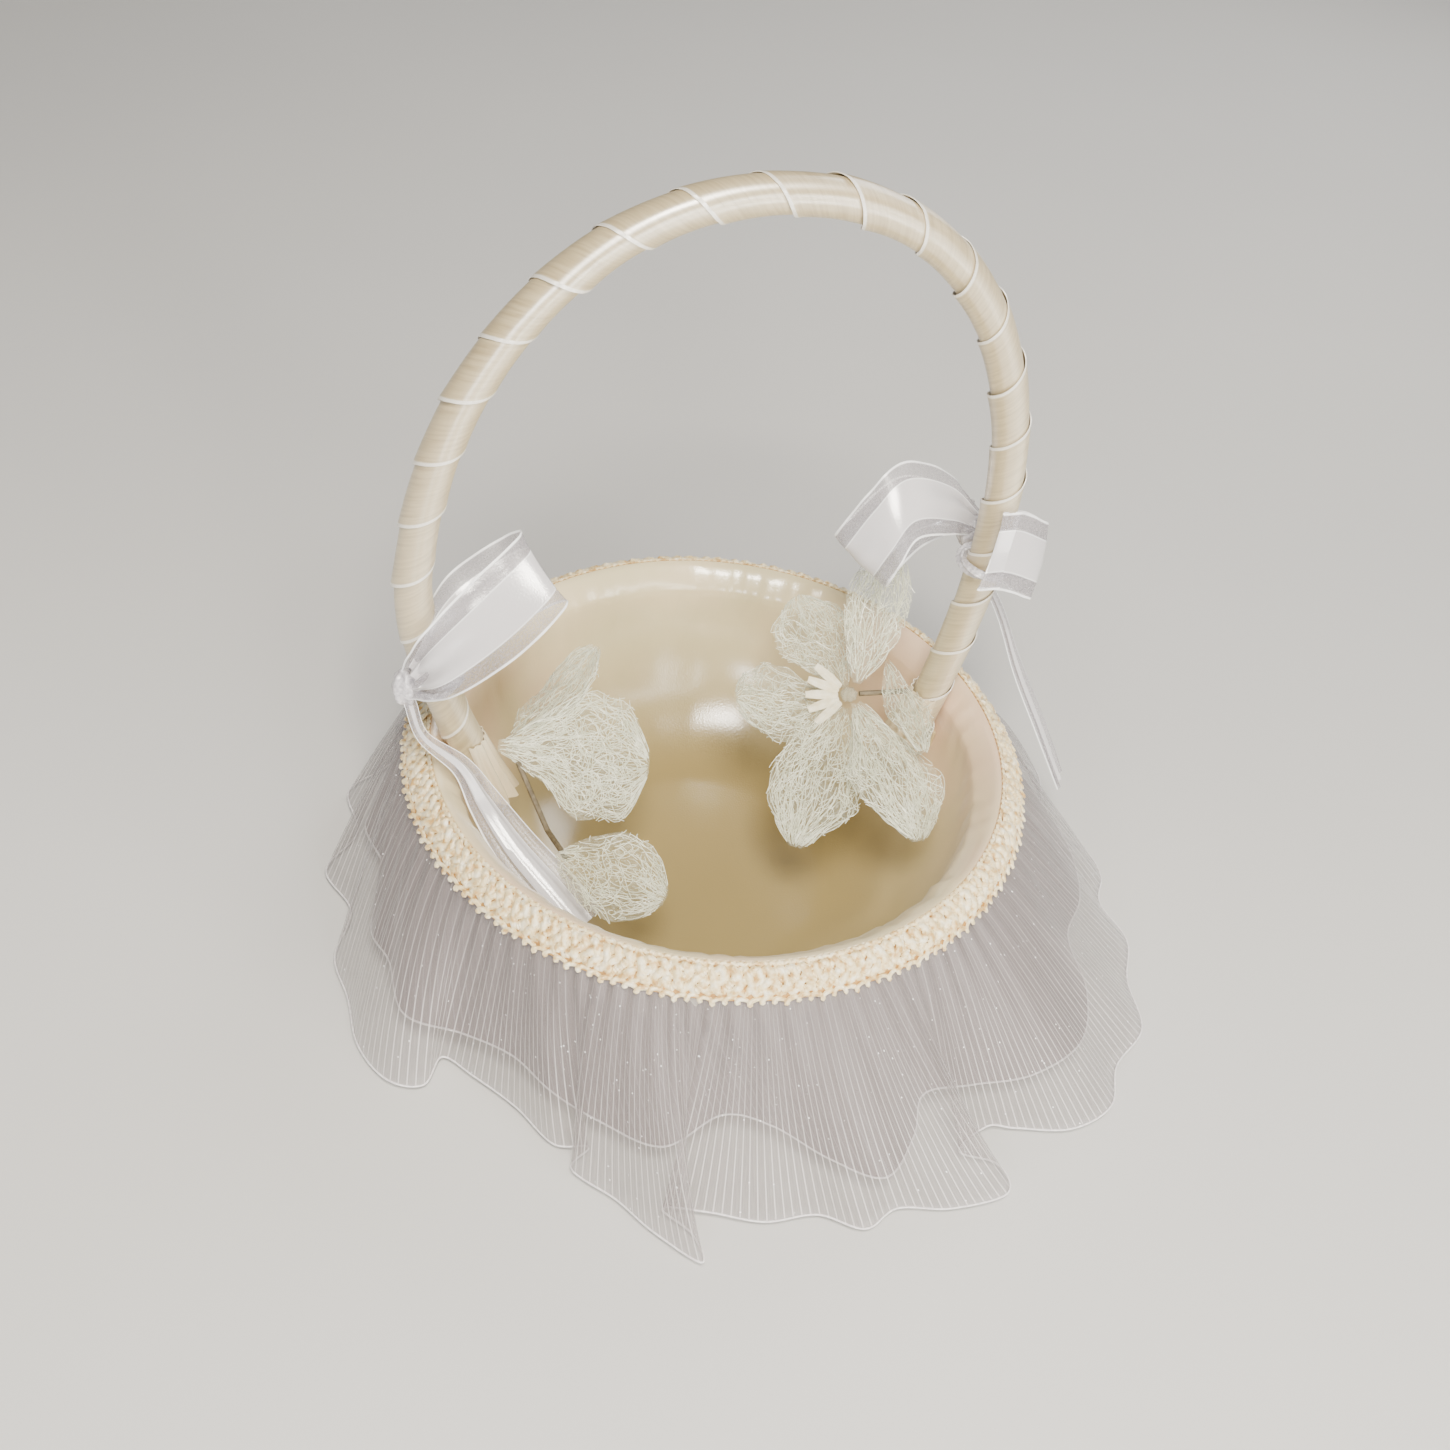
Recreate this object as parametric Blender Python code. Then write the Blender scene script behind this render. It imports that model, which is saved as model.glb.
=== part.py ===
"""Flower girl basket: a padded satin bowl with a braided rim, two gathered organza
ruffles, a ribbon-wrapped hoop handle, and a bow and a fabric flower at each foot of it.

Metres, +Z up. The origin is the centre of the flat underside of the base board, and
the handle stands over the X axis.
"""

import math

import bmesh
import bpy
from mathutils import Vector

# Driving dimensions.
RIM_HEIGHT = 0.070  # top edge of the lined bowl above the surface it stands on
LIP_RADIUS = 0.0905  # inside of the bowl at its top edge
WALL_RADIUS = 0.0845  # inside of the bowl under its flared lip
FLOOR_RADIUS = 0.040  # flat middle of the bowl's floor
FLARE_DROP = 0.008  # height of the flared lip
CLEARANCE = 0.0003  # gap between pieces that touch
LINING_THICKNESS = 0.0006
PADDING_THICKNESS = 0.0020
SHELL_THICKNESS = 0.0015
COVER_THICKNESS = 0.0006
BOARD_THICKNESS = 0.0030
BOARD_MARGIN = 0.006  # how far the board reaches past the flat of the floor
BRAID_WIDTH = 0.0127
BRAID_THICKNESS = 0.0020
TAPE_DEPTH = 0.007
TAPE_THICKNESS = 0.0006
RUFFLE_THICKNESS = 0.0006
RUFFLE_FOLDS = 10
OUTER_HEM_HEIGHT = 0.0025
INNER_HEM_HEIGHT = 0.012
RUFFLE_SPREAD = 0.036  # how far the hem stands out from the rim, on average
RUFFLE_SWEEP = 0.010  # how much further it stands out on its fuller side
RUFFLE_FULL_SIDE = math.radians(-45)
FOLD_DEPTH = 0.007
LAYER_STEP = 0.0012  # between the middles of the two ruffles where they are sewn
LAYER_GAP = 0.003  # further between them at the hem

# Handle.
CORE_RADIUS = 0.0042
WRAP_THICKNESS = 0.0012
HOOP_HALF_WIDTH = 0.0902
HOOP_SHOULDER = 0.062  # height of its widest place above the rim
HOOP_TOP = 0.183  # height of its centreline's top above the rim
HOOP_POWER = 2.11  # 2 would be an ellipse, more is squarer
HOOP_LEAN = 0.038  # sideways per unit of height
HOOP_SHIFT = (-0.0078, 0.0128)  # of its middle from the bowl's
FOOT_DEPTH = 0.024  # how far it goes down inside the bowl
FOOT_CLEARANCE = 0.0022  # between the wrapped foot and the lining, filled by the glue
FOOT_BEND = 0.003  # how much the foot still leans out at the rim
LIP_MARGIN = 0.0012  # between the wrapped leg and the lip as it passes
PAD_HALF_HEIGHT = 0.0030
PAD_SHARE = 0.7  # half a pad's width for the wrapped foot's radius
CUFF_THICKNESS = 0.0010
CUFF_REACH = 80  # degrees round the foot to each side of its inner side

# Ribbons, bows and flowers.
BOW_RIBBON_WIDTH = 0.025
RIBBON_THICKNESS = 0.0008
LOOP_END = 0.07  # share of a loop's turn that the knot holds at each end
LOOP_FULLNESS = 1.3  # how round a loop is for its opening
LOOP_PINCH = 0.3  # share of the ribbon's width at the knot
LOOP_SPREAD = 0.4  # share of a loop's length over which it opens to full width
TIE_RADIUS = 0.0014
TIE_REACH = 0.008  # of the leg on each side of a tie, which gives its slope
KNOT_RADIUS = 0.0045
KNOT_STRETCH = 1.4  # a knot's height for its width
PETAL_THICKNESS = 0.0008
PETAL_ROOT = 0.10  # share of a petal's width at its root
PETAL_TIP = 0.12  # half of what is left of its width at its rounded tip
PETAL_WIDEST = 1.25  # over 1 puts its widest place past its middle
PETAL_ROUNDNESS = 0.75  # under 1 makes it fuller than a sine
HUB_RADIUS = 0.0030
STEM_RADIUS = 0.0009
STAMEN_RADIUS = 0.0008
STAMEN_LENGTH = 0.011
STAMEN_SPREAD = 34  # degrees from each to the next
LEFT_KNOT_HEIGHT = 0.018  # above the rim
RIGHT_KNOT_HEIGHT = 0.054

AROUND = 40  # facets of the turned pieces
TUBE_SIDES = 10


def clear_scene():
    """Removes every object of the startup scene."""
    for item in list(bpy.data.objects):
        bpy.data.objects.remove(item)


def finish(name, colour, roughness, metallic=0.0):
    """A Principled material."""
    material = bpy.data.materials.new(name)
    material.use_nodes = True
    shader = material.node_tree.nodes["Principled BSDF"]
    shader.inputs["Base Color"].default_value = (*colour, 1.0)
    shader.inputs["Roughness"].default_value = roughness
    shader.inputs["Metallic"].default_value = metallic
    return material


def place(name, mesh, material):
    """Adds a mesh to the scene as a smooth-shaded object."""
    mesh.materials.append(material)
    mesh.shade_smooth()
    item = bpy.data.objects.new(name, mesh)
    bpy.context.scene.collection.objects.link(item)
    return item


def turned(name, profile, material, closed=False):
    """Turns a profile of (radius, height) pairs round Z.

    A profile runs from axis to axis, unless it is closed.
    """
    shape = bmesh.new()
    points = [shape.verts.new((radius, 0, height)) for radius, height in profile]
    pairs = list(zip(points, points[1:]))
    if closed:
        pairs.append((points[-1], points[0]))
    edges = [shape.edges.new(pair) for pair in pairs]
    bmesh.ops.spin(
        shape,
        geom=points + edges,
        axis=(0, 0, 1),
        cent=(0, 0, 0),
        steps=AROUND,
        angle=math.tau,
        use_merge=True,
    )
    bmesh.ops.remove_doubles(shape, verts=shape.verts, dist=1e-6)
    bmesh.ops.recalc_face_normals(shape, faces=shape.faces)
    mesh = bpy.data.meshes.new(name)
    shape.to_mesh(mesh)
    shape.free()
    item = place(name, mesh, material)
    mesh.set_sharp_from_angle(angle=math.radians(40))
    return item


def sheet(name, rows, thickness, material, wrapped=False):
    """A thin solid over a grid of points, half its thickness on each side.

    A wrapped grid joins the end of each row to its start.
    """
    width = len(rows[0])
    columns = width if wrapped else width - 1
    faces = []
    for row in range(len(rows) - 1):
        for column in range(columns):
            beside = (column + 1) % width
            here = row * width
            above = here + width
            faces.append((here + column, here + beside, above + beside, above + column))
    mesh = bpy.data.meshes.new(name)
    mesh.from_pydata([point for row in rows for point in row], [], faces)
    item = place(name, mesh, material)
    wall = item.modifiers.new("thickness", "SOLIDIFY")
    wall.thickness = thickness
    wall.offset = 0
    return item


def rod(name, points, radius, material):
    """A round bar along a list of points, with closed ends."""
    curve = bpy.data.curves.new(name, "CURVE")
    curve.dimensions = "3D"
    curve.bevel_depth = radius
    curve.bevel_resolution = (TUBE_SIDES - 4) // 2
    curve.use_fill_caps = True
    curve.materials.append(material)
    line = curve.splines.new("POLY")
    line.points.add(len(points) - 1)
    for spot, point in zip(line.points, points):
        spot.co = (*point, 1)
    line.use_smooth = True
    item = bpy.data.objects.new(name, curve)
    bpy.context.scene.collection.objects.link(item)
    return item


# Bowl -------------------------------------------------------------------------------


def wall_thickness():
    """From the inside of the lining to the outside of the cover."""
    layers = (LINING_THICKNESS, PADDING_THICKNESS, SHELL_THICKNESS, COVER_THICKNESS)
    return sum(layers) + CLEARANCE * (len(layers) - 1)


def bowl_arc():
    """Height of the arc's top, and its depth, for the inside of the lining."""
    top = RIM_HEIGHT - FLARE_DROP
    return top, top - BOARD_THICKNESS - CLEARANCE - wall_thickness()


def bowl_profile(depth_in_wall):
    """(radius, height) pairs from the axis to the lip, at a depth into the wall."""
    top, depth = bowl_arc()
    steps = 5
    points = [(0.0, top - depth - depth_in_wall)]
    for step in range(steps + 1):
        turn = math.pi / 2 * step / steps
        radius = FLOOR_RADIUS + (WALL_RADIUS - FLOOR_RADIUS + depth_in_wall) * math.sin(turn)
        points.append((radius, top - (depth + depth_in_wall) * math.cos(turn)))
    points.append((LIP_RADIUS + depth_in_wall, lip_height(LIP_RADIUS + depth_in_wall)))
    return points


def lip_height(radius):
    """Top of any layer at a radius, so that it stops just under the braid."""
    return RIM_HEIGHT - (radius - LIP_RADIUS) - CLEARANCE * math.sqrt(2)


def inner_radius(drop):
    """Inside radius of the faceted lining at a distance below the rim."""
    height = RIM_HEIGHT - drop
    profile = bowl_profile(0)[1:]
    for (low_radius, low), (high_radius, high) in zip(profile, profile[1:]):
        if height <= high:
            break
    radius = low_radius + (high_radius - low_radius) * (height - low) / (high - low)
    return radius * math.cos(math.pi / AROUND)


def build_bowl(finishes):
    """The lining, padding, shell and cover, one inside the next, on the base board."""
    depth = 0.0
    layers = (
        ("bowl_lining", LINING_THICKNESS, "satin"),
        ("bowl_padding", PADDING_THICKNESS, "wadding"),
        ("bowl_shell", SHELL_THICKNESS, "board"),
        ("bowl_cover", COVER_THICKNESS, "satin"),
    )
    for name, thickness, look in layers:
        inside = bowl_profile(depth)
        outside = bowl_profile(depth + thickness)
        turned(name, inside + outside[::-1], finishes[look])
        depth += thickness + CLEARANCE
    edge = FLOOR_RADIUS + BOARD_MARGIN
    board = [(0, 0), (edge, 0), (edge, BOARD_THICKNESS), (0, BOARD_THICKNESS)]
    turned("base_board", board, finishes["board"])


def build_braid(finishes):
    """The looped braid, a sloping band over the raw top edges of the layers."""
    reach = BRAID_WIDTH * math.sqrt(0.5)
    lift = BRAID_THICKNESS * math.sqrt(0.5)
    band = [
        (LIP_RADIUS, RIM_HEIGHT),
        (LIP_RADIUS + lift, RIM_HEIGHT + lift),
        (LIP_RADIUS + reach + lift, RIM_HEIGHT - reach + lift),
        (LIP_RADIUS + reach, RIM_HEIGHT - reach),
    ]
    turned("rim_braid", band, finishes["braid"], closed=True)


# Skirt ------------------------------------------------------------------------------


def tape_radius():
    """Inside of the tape that the ruffles are sewn to."""
    return LIP_RADIUS + wall_thickness() + CLEARANCE


def build_tape(finishes):
    """The header tape round the lip, under the braid."""
    inner = tape_radius()
    outer = inner + TAPE_THICKNESS
    top = lip_height(outer)
    band = [(inner, top), (outer, top), (outer, top - TAPE_DEPTH), (inner, top - TAPE_DEPTH)]
    turned("skirt_header_tape", band, finishes["tape"], closed=True)


def ruffle(name, layer, hem_height, material):
    """A gathered ruffle: layer 0 is the inner one, 1 the outer one."""
    innermost = tape_radius() + TAPE_THICKNESS + RUFFLE_THICKNESS
    top_radius = innermost + LAYER_STEP * layer
    top = lip_height(top_radius + RUFFLE_THICKNESS)
    sewn_height = lip_height(innermost + LAYER_STEP + RUFFLE_THICKNESS)
    levels = 4
    fall = sewn_height - hem_height
    heights = [sewn_height - fall * level / levels for level in range(levels + 1)]
    if layer == 0:
        heights.insert(0, top)
    rows = []
    for height in heights:
        share = max(0.0, (sewn_height - height) / (sewn_height - OUTER_HEM_HEIGHT))
        row = []
        for column in range(RUFFLE_FOLDS * 8):
            turn = math.tau * column / (RUFFLE_FOLDS * 8)
            spread = RUFFLE_SPREAD + RUFFLE_SWEEP * math.cos(turn - RUFFLE_FULL_SIDE)
            fold = FOLD_DEPTH * math.cos(RUFFLE_FOLDS * turn) * share
            radius = top_radius + (spread + LAYER_GAP * (layer - 1)) * share + fold
            row.append((radius * math.cos(turn), radius * math.sin(turn), height))
        rows.append(row)
    sheet(name, rows, RUFFLE_THICKNESS, material, wrapped=True)


def build_skirt(finishes):
    """The tape and its two ruffles, the inner one shorter."""
    build_tape(finishes)
    ruffle("inner_ruffle", 0, INNER_HEM_HEIGHT, finishes["organza"])
    ruffle("outer_ruffle", 1, OUTER_HEM_HEIGHT, finishes["organza"])


# Handle -----------------------------------------------------------------------------


def wrap_middle():
    """Middle of the wrap's wall at a facet's corner, clear of the core."""
    return (CORE_RADIUS + CLEARANCE) / math.cos(math.pi / TUBE_SIDES) + WRAP_THICKNESS / 2


def wrap_radius():
    """Outside of the wrapped handle."""
    return wrap_middle() + WRAP_THICKNESS / 2


def hoop_point(turn):
    """A point of the hoop above its shoulders, from turn 0 at +X to pi at -X."""
    power = 2 / HOOP_POWER
    across = math.copysign(abs(math.cos(turn)) ** power, math.cos(turn))
    rise = HOOP_SHOULDER + (HOOP_TOP - HOOP_SHOULDER) * abs(math.sin(turn)) ** power
    along = HOOP_SHIFT[0] + HOOP_HALF_WIDTH * across + HOOP_LEAN * rise
    return Vector((along, HOOP_SHIFT[1], RIM_HEIGHT + rise))


def foot_point(side):
    """The end of the handle on one side, against the lining."""
    reach = inner_radius(FOOT_DEPTH) - wrap_radius() - FOOT_CLEARANCE
    along = math.sqrt(reach * reach - HOOP_SHIFT[1] ** 2)
    return Vector((side * along, HOOP_SHIFT[1], RIM_HEIGHT - FOOT_DEPTH))


def leg_curve(side, upright, steps):
    """Points from the foot up to the shoulder, the more upright the lower its bend starts."""
    foot = foot_point(side)
    shoulder = hoop_point(0 if side > 0 else math.pi)
    low = Vector((foot.x + side * FOOT_BEND, foot.y, RIM_HEIGHT - FOOT_BEND / 2 + upright))
    high = shoulder - Vector((0, 0, HOOP_SHOULDER / 2 - upright))
    points = []
    for step in range(steps + 1):
        t = step / steps
        u = 1 - t
        mix = foot * u**3 + low * (3 * u * u * t) + high * (3 * u * t * t) + shoulder * t**3
        points.append(mix)
    return points


def in_the_way(point):
    """Whether a leg through a point would touch the lining or the lip."""
    if point.z > RIM_HEIGHT + LIP_MARGIN:
        return False
    room = inner_radius(max(0.0, RIM_HEIGHT - point.z)) - wrap_radius() - LIP_MARGIN
    return point.xy.length > room


def leg_upright(side):
    """How much higher a leg starts its bend, where it would touch the lip otherwise."""
    upright = 0.0
    while any(in_the_way(point) for point in leg_curve(side, upright, 40)):
        upright += LIP_MARGIN
    return upright


def leg(side, steps=8):
    """Points of one leg, which clears the lip and the braid as it passes them."""
    return leg_curve(side, leg_upright(side), steps)


def handle_path():
    """Points of the handle's centreline, from its left foot to its right foot."""
    arc = [hoop_point(math.pi * (1 - step / 24)) for step in range(1, 24)]
    return leg(-1) + arc + leg(1)[::-1]


def leg_point(side, above_rim):
    """The centreline of one leg at a height above the rim."""
    points = leg(side, 40)
    return min(points, key=lambda point: abs(point.z - RIM_HEIGHT - above_rim))


def section(points, index, radius, turn):
    """A point on a tube round a path in a plane of constant Y."""
    ahead = points[min(index + 1, len(points) - 1)]
    behind = points[max(index - 1, 0)]
    along = (ahead - behind).normalized()
    sideways = along.cross(Vector((0, 1, 0)))
    offset = sideways * math.cos(turn) + Vector((0, 1, 0)) * math.sin(turn)
    return points[index] + offset * radius


def tube(name, points, radius, thickness, material, turns, wrapped):
    """A wall round a path, over a list of turns."""
    rows = [[section(points, i, radius, turn) for turn in turns] for i in range(len(points))]
    sheet(name, rows, thickness, material, wrapped)


def build_handle(finishes):
    """The hoop, the ribbon wound on it, and what holds each foot."""
    path = handle_path()
    rod("handle_core", path, CORE_RADIUS, finishes["hoop"])
    turns = [math.tau * side / TUBE_SIDES for side in range(TUBE_SIDES)]
    tube("handle_wrap", path, wrap_middle(), WRAP_THICKNESS, finishes["satin"], turns, True)
    for side, word in ((-1, "left"), (1, "right")):
        build_cuff(f"{word}_handle_cuff", side, finishes)
        build_pad(f"{word}_glue_pad", side, finishes)


def build_cuff(name, side, finishes):
    """The gathered ribbon end round the inner side of a foot."""
    points = [point for point in leg(side, 20) if point.z < RIM_HEIGHT]
    middle = wrap_radius() + CLEARANCE + CUFF_THICKNESS / 2
    facing = -math.pi / 2 * (side - 1)
    turns = [facing + math.radians(angle) for angle in range(-CUFF_REACH, CUFF_REACH + 1, 20)]
    tube(name, points, middle, CUFF_THICKNESS, finishes["satin"], turns, False)


def build_pad(name, side, finishes):
    """The glue between a foot and the lining."""
    foot = foot_point(side)
    bearing = math.atan2(foot.y, foot.x)
    half_turn = wrap_radius() * PAD_SHARE / foot.length
    rows = []
    for level in range(3):
        drop = FOOT_DEPTH - PAD_HALF_HEIGHT * level
        row = []
        for step in range(-2, 3):
            turn = bearing + half_turn * step / 2
            radius = inner_radius(drop) - FOOT_CLEARANCE / 2
            row.append((radius * math.cos(turn), radius * math.sin(turn), RIM_HEIGHT - drop))
        rows.append(row)
    sheet(name, rows, FOOT_CLEARANCE - 4 * CLEARANCE, finishes["glue"])


# Ribbons and flowers ----------------------------------------------------------------


def square_axes(along, across):
    """A unit vector along, one across it, and the face's normal."""
    along = along.normalized()
    across = (across - along * across.dot(along)).normalized()
    return along, across, along.cross(across)


def ribbon_loop(name, start, tip, across, opening, finishes):
    """A bow's loop: a band that leaves the knot, turns at its tip and comes back."""
    reach = (tip - start).length
    along, across, face = square_axes(tip - start, across)
    rows = []
    steps = 16
    for step in range(steps + 1):
        turn = math.tau * (LOOP_END + (1 - 2 * LOOP_END) * step / steps)
        forward = reach * (1 - math.cos(turn)) / 2
        bulge = opening / 2 * math.sin(turn) * math.sin(turn / 2) * LOOP_FULLNESS
        centre = start + along * forward + face * bulge
        opened = min(1.0, forward / (reach * LOOP_SPREAD))
        edge = across * (BOW_RIBBON_WIDTH / 2 * (LOOP_PINCH + (1 - LOOP_PINCH) * opened))
        rows.append([centre - edge, centre, centre + edge])
    return sheet(name, rows, RIBBON_THICKNESS, finishes["bow"])


def strip(name, points, widths, across, material):
    """A ribbon's tail: a flat band through points, with a width at each."""
    rows = []
    for point, width in zip(points, widths):
        edge = across.normalized() * (width / 2)
        rows.append([point - edge, point, point + edge])
    return sheet(name, rows, RIBBON_THICKNESS, material)


def petal(name, start, tip, across, width, lift, material):
    """A petal: a thin leaf, widest past its middle and cupped by its lift."""
    reach = (tip - start).length
    along, across, face = square_axes(tip - start, across)
    rows = []
    steps = 7
    for step in range(steps + 1):
        share = step / steps
        fullness = math.sin(math.pi * share**PETAL_WIDEST) ** PETAL_ROUNDNESS
        half = width / 2 * (PETAL_ROOT + (1 - PETAL_ROOT) * fullness)
        if step == steps:
            half = width * PETAL_TIP
        centre = start + along * (reach * share) + face * (lift * math.sin(math.pi * share))
        rows.append([centre + across * (half * part) for part in (-1, -0.5, 0, 0.5, 1)])
    return sheet(name, rows, PETAL_THICKNESS, material)


def ball(name, centre, radii, material):
    """A rounded lump, with a radius along each axis."""
    shape = bmesh.new()
    bmesh.ops.create_uvsphere(shape, u_segments=12, v_segments=8, radius=1)
    for vertex in shape.verts:
        vertex.co = Vector(a * b for a, b in zip(vertex.co, radii)) + centre
    mesh = bpy.data.meshes.new(name)
    shape.to_mesh(mesh)
    shape.free()
    return place(name, mesh, material)


def tie(name, side, above_rim, material):
    """The ribbon pulled round a leg under a bow, as a ring."""
    centre = leg_point(side, above_rim)
    ahead = leg_point(side, above_rim + TIE_REACH)
    behind = leg_point(side, above_rim - TIE_REACH)
    along, across, face = square_axes(ahead - behind, Vector((0, 1, 0)))
    major = wrap_radius() + CLEARANCE * 2 + TIE_RADIUS
    steps, sides = 20, 8
    rows = []
    for step in range(steps):
        turn = math.tau * step / steps
        out = across * math.cos(turn) + face * math.sin(turn)
        ring = []
        for side_step in range(sides):
            angle = math.tau * side_step / sides
            radius = major + TIE_RADIUS * math.cos(angle)
            ring.append(centre + out * radius + along * (TIE_RADIUS * math.sin(angle)))
        rows.append(ring)
    faces = []
    for row in range(steps):
        for column in range(sides):
            here, after = row * sides, (row + 1) % steps * sides
            beside = (column + 1) % sides
            faces.append((here + column, after + column, after + beside, here + beside))
    mesh = bpy.data.meshes.new(name)
    mesh.from_pydata([point for row in rows for point in row], [], faces)
    shape = bmesh.new()
    shape.from_mesh(mesh)
    bmesh.ops.recalc_face_normals(shape, faces=shape.faces)
    shape.to_mesh(mesh)
    shape.free()
    return place(name, mesh, material)


def knot_radii():
    """A knot's radius along each axis."""
    return (KNOT_RADIUS, KNOT_RADIUS, KNOT_RADIUS * KNOT_STRETCH)


def knot_centre(side, above_rim, towards):
    """A knot's middle, beside the tie round its leg."""
    reach = wrap_radius() + CLEARANCE * 4 + TIE_RADIUS * 2 + KNOT_RADIUS
    return leg_point(side, above_rim) + towards.normalized() * reach


def build_left_bow(finishes):
    """A tie, a knot, one loop over the bowl and a tail down inside it."""
    tie("left_bow_tie", -1, LEFT_KNOT_HEIGHT, finishes["bow"])
    knot = knot_centre(-1, LEFT_KNOT_HEIGHT, Vector((-0.45, -1, 0)))
    ball("left_bow_knot", knot, knot_radii(), finishes["bow"])
    start = knot + Vector((0.0042, -0.0040, 0.002))
    tip = start + Vector((0.040, 0.017, 0.034))
    across = Vector((0.38, -0.72, -0.58))
    ribbon_loop("left_bow_loop", start, tip, across, 0.018, finishes)
    foot = leg_point(-1, 0)
    offsets = (
        (-0.0031, -0.0188, 0.0033),
        (0.0024, -0.0248, -0.0057),
        (0.0104, -0.0368, -0.0137),
        (0.0204, -0.0498, -0.0217),
        (0.0274, -0.0588, -0.0277),
    )
    points = [knot + Vector((0.002, -0.001, -0.0072))]
    points += [foot + Vector(offset) for offset in offsets]
    widths = [0.004, 0.007, 0.012, 0.016, 0.018, 0.018]
    across = Vector((0.62, 0.60, 0.0))
    strip("left_bow_tail", points, widths, across, finishes["bow"])


def build_right_bow(finishes):
    """A tie, a knot, a large and a small loop, and a tail that hangs outside."""
    tie("right_bow_tie", 1, RIGHT_KNOT_HEIGHT, finishes["bow"])
    knot = knot_centre(1, RIGHT_KNOT_HEIGHT, Vector((0, 1, 0)))
    ball("right_bow_knot", knot, knot_radii(), finishes["bow"])
    start = knot + Vector((-0.0032, 0.000, 0.001))
    tip = start + Vector((-0.038, -0.005, 0.021))
    across = Vector((0.73, -0.60, -0.32))
    ribbon_loop("right_bow_large_loop", start, tip, across, 0.030, finishes)
    start = knot + Vector((0.0053, 0.0022, 0.0))
    tip = start + Vector((0.017, -0.010, -0.002))
    across = Vector((-0.24, -0.64, -0.73))
    ribbon_loop("right_bow_small_loop", start, tip, across, 0.009, finishes)
    build_hanging_tail(knot, finishes)


def tail_hinge(knot):
    """Where the hanging tail leaves the right knot."""
    return knot + Vector((0.001, 0.000, -0.0068))


def build_hanging_tail(knot, finishes):
    """The loose end, which can be lifted away from the skirt at its hinge."""
    hinge = tail_hinge(knot)
    past_lip = LIP_RADIUS - hinge.x
    offsets = (
        (0.0, 0.000, 0.000),
        (0.0096 + past_lip / 2, -0.008, -0.020),
        (0.0161 + past_lip, -0.014, -0.041),
        (0.0271 + past_lip, -0.020, -0.063),
        (0.0391 + past_lip, -0.025, -0.088),
    )
    widths = [0.003, 0.007, 0.010, 0.012, 0.010]
    points = [Vector(offset) for offset in offsets]
    across = Vector((0.45, 0.89, 0.0))
    item = strip("right_bow_tail", points, widths, across, finishes["bow"])
    item.location = hinge


def build_flower(word, hub, petals, finishes):
    """A hub, and petals whose starts and tips are measured from it."""
    ball(f"{word}_flower_hub", hub, [HUB_RADIUS] * 3, finishes["petal"])
    for number, (start, tip, across, width, lift) in enumerate(petals, 1):
        petal(
            f"{word}_petal_{number}",
            hub + Vector(start),
            hub + Vector(tip),
            Vector(across),
            width,
            lift,
            finishes["petal"],
        )


def build_left_flower(finishes):
    """Three petals over the bowl, wired to the left foot of the handle."""
    foot = leg_point(-1, 0)
    hub = foot + Vector((0.014, -0.004, -0.004))
    petals = (
        ((0.004, 0.002, 0.000), (0.045, -0.006, -0.008), (0.33, 0.81, 0.49), 0.046, 0.003),
        ((0.000, 0.004, 0.003), (0.032, 0.030, 0.014), (0.24, -0.76, 0.30), 0.022, 0.002),
        ((0.010, -0.036, -0.013), (0.040, -0.056, -0.014), (0.31, 0.89, 0.33), 0.029, 0.003),
    )
    build_flower("left", hub, petals, finishes)
    bend = hub + Vector((0.0076, -0.0196, -0.0170))
    end = hub + Vector((0.0106, -0.0350, -0.0143))
    stem = [hub + Vector((0.0005, -0.0036, -0.0012)), bend, end]
    rod("left_flower_stem", stem, STEM_RADIUS, finishes["wire"])


def build_right_flower(finishes):
    """Six petals round a hub with five stamens, wired to the right leg."""
    foot = leg_point(1, 0)
    hub = foot + Vector((-0.029, 0.001, 0.000))
    petals = (
        ((0.000, 0.0045, -0.001), (-0.008, 0.040, 0.008), (0.88, 0.46, 0.14), 0.027, 0.002),
        ((-0.0035, 0.000, -0.001), (-0.038, 0.004, 0.000), (0.36, 0.91, 0.10), 0.034, 0.003),
        ((-0.0015, -0.0022, -0.0036), (-0.029, -0.044, -0.022), (0.83, -0.55, 0.0), 0.030, 0.003),
        ((0.001, -0.0035, -0.001), (0.004, -0.050, -0.010), (0.97, 0.08, -0.23), 0.032, 0.003),
        ((0.014, 0.012, 0.0023), (0.013, -0.030, 0.0020), (0.99, 0.12, 0.0), 0.012, 0.0),
        ((0.001, 0.0020, 0.0028), (0.014, 0.029, 0.030), (0.99, -0.13, 0.0), 0.020, -0.002),
    )
    build_flower("right", hub, petals, finishes)
    for number in range(5):
        angle = math.radians(180 + STAMEN_SPREAD * (number - 2))
        out = Vector((math.cos(angle), math.sin(angle), 0.9)).normalized()
        start = hub + out * (HUB_RADIUS + CLEARANCE * 4)
        end = start + out * STAMEN_LENGTH
        rod(f"right_stamen_{number + 1}", [start, end], STAMEN_RADIUS, finishes["stamen"])
    start = hub + Vector((HUB_RADIUS + 0.0006, 0.0, 0.0))
    end = leg_point(1, 0) - Vector((wrap_radius() + CUFF_THICKNESS + 0.002, 0, 0))
    rod("right_flower_stem", [start, (start + end) / 2, end], STEM_RADIUS, finishes["wire"])


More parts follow.
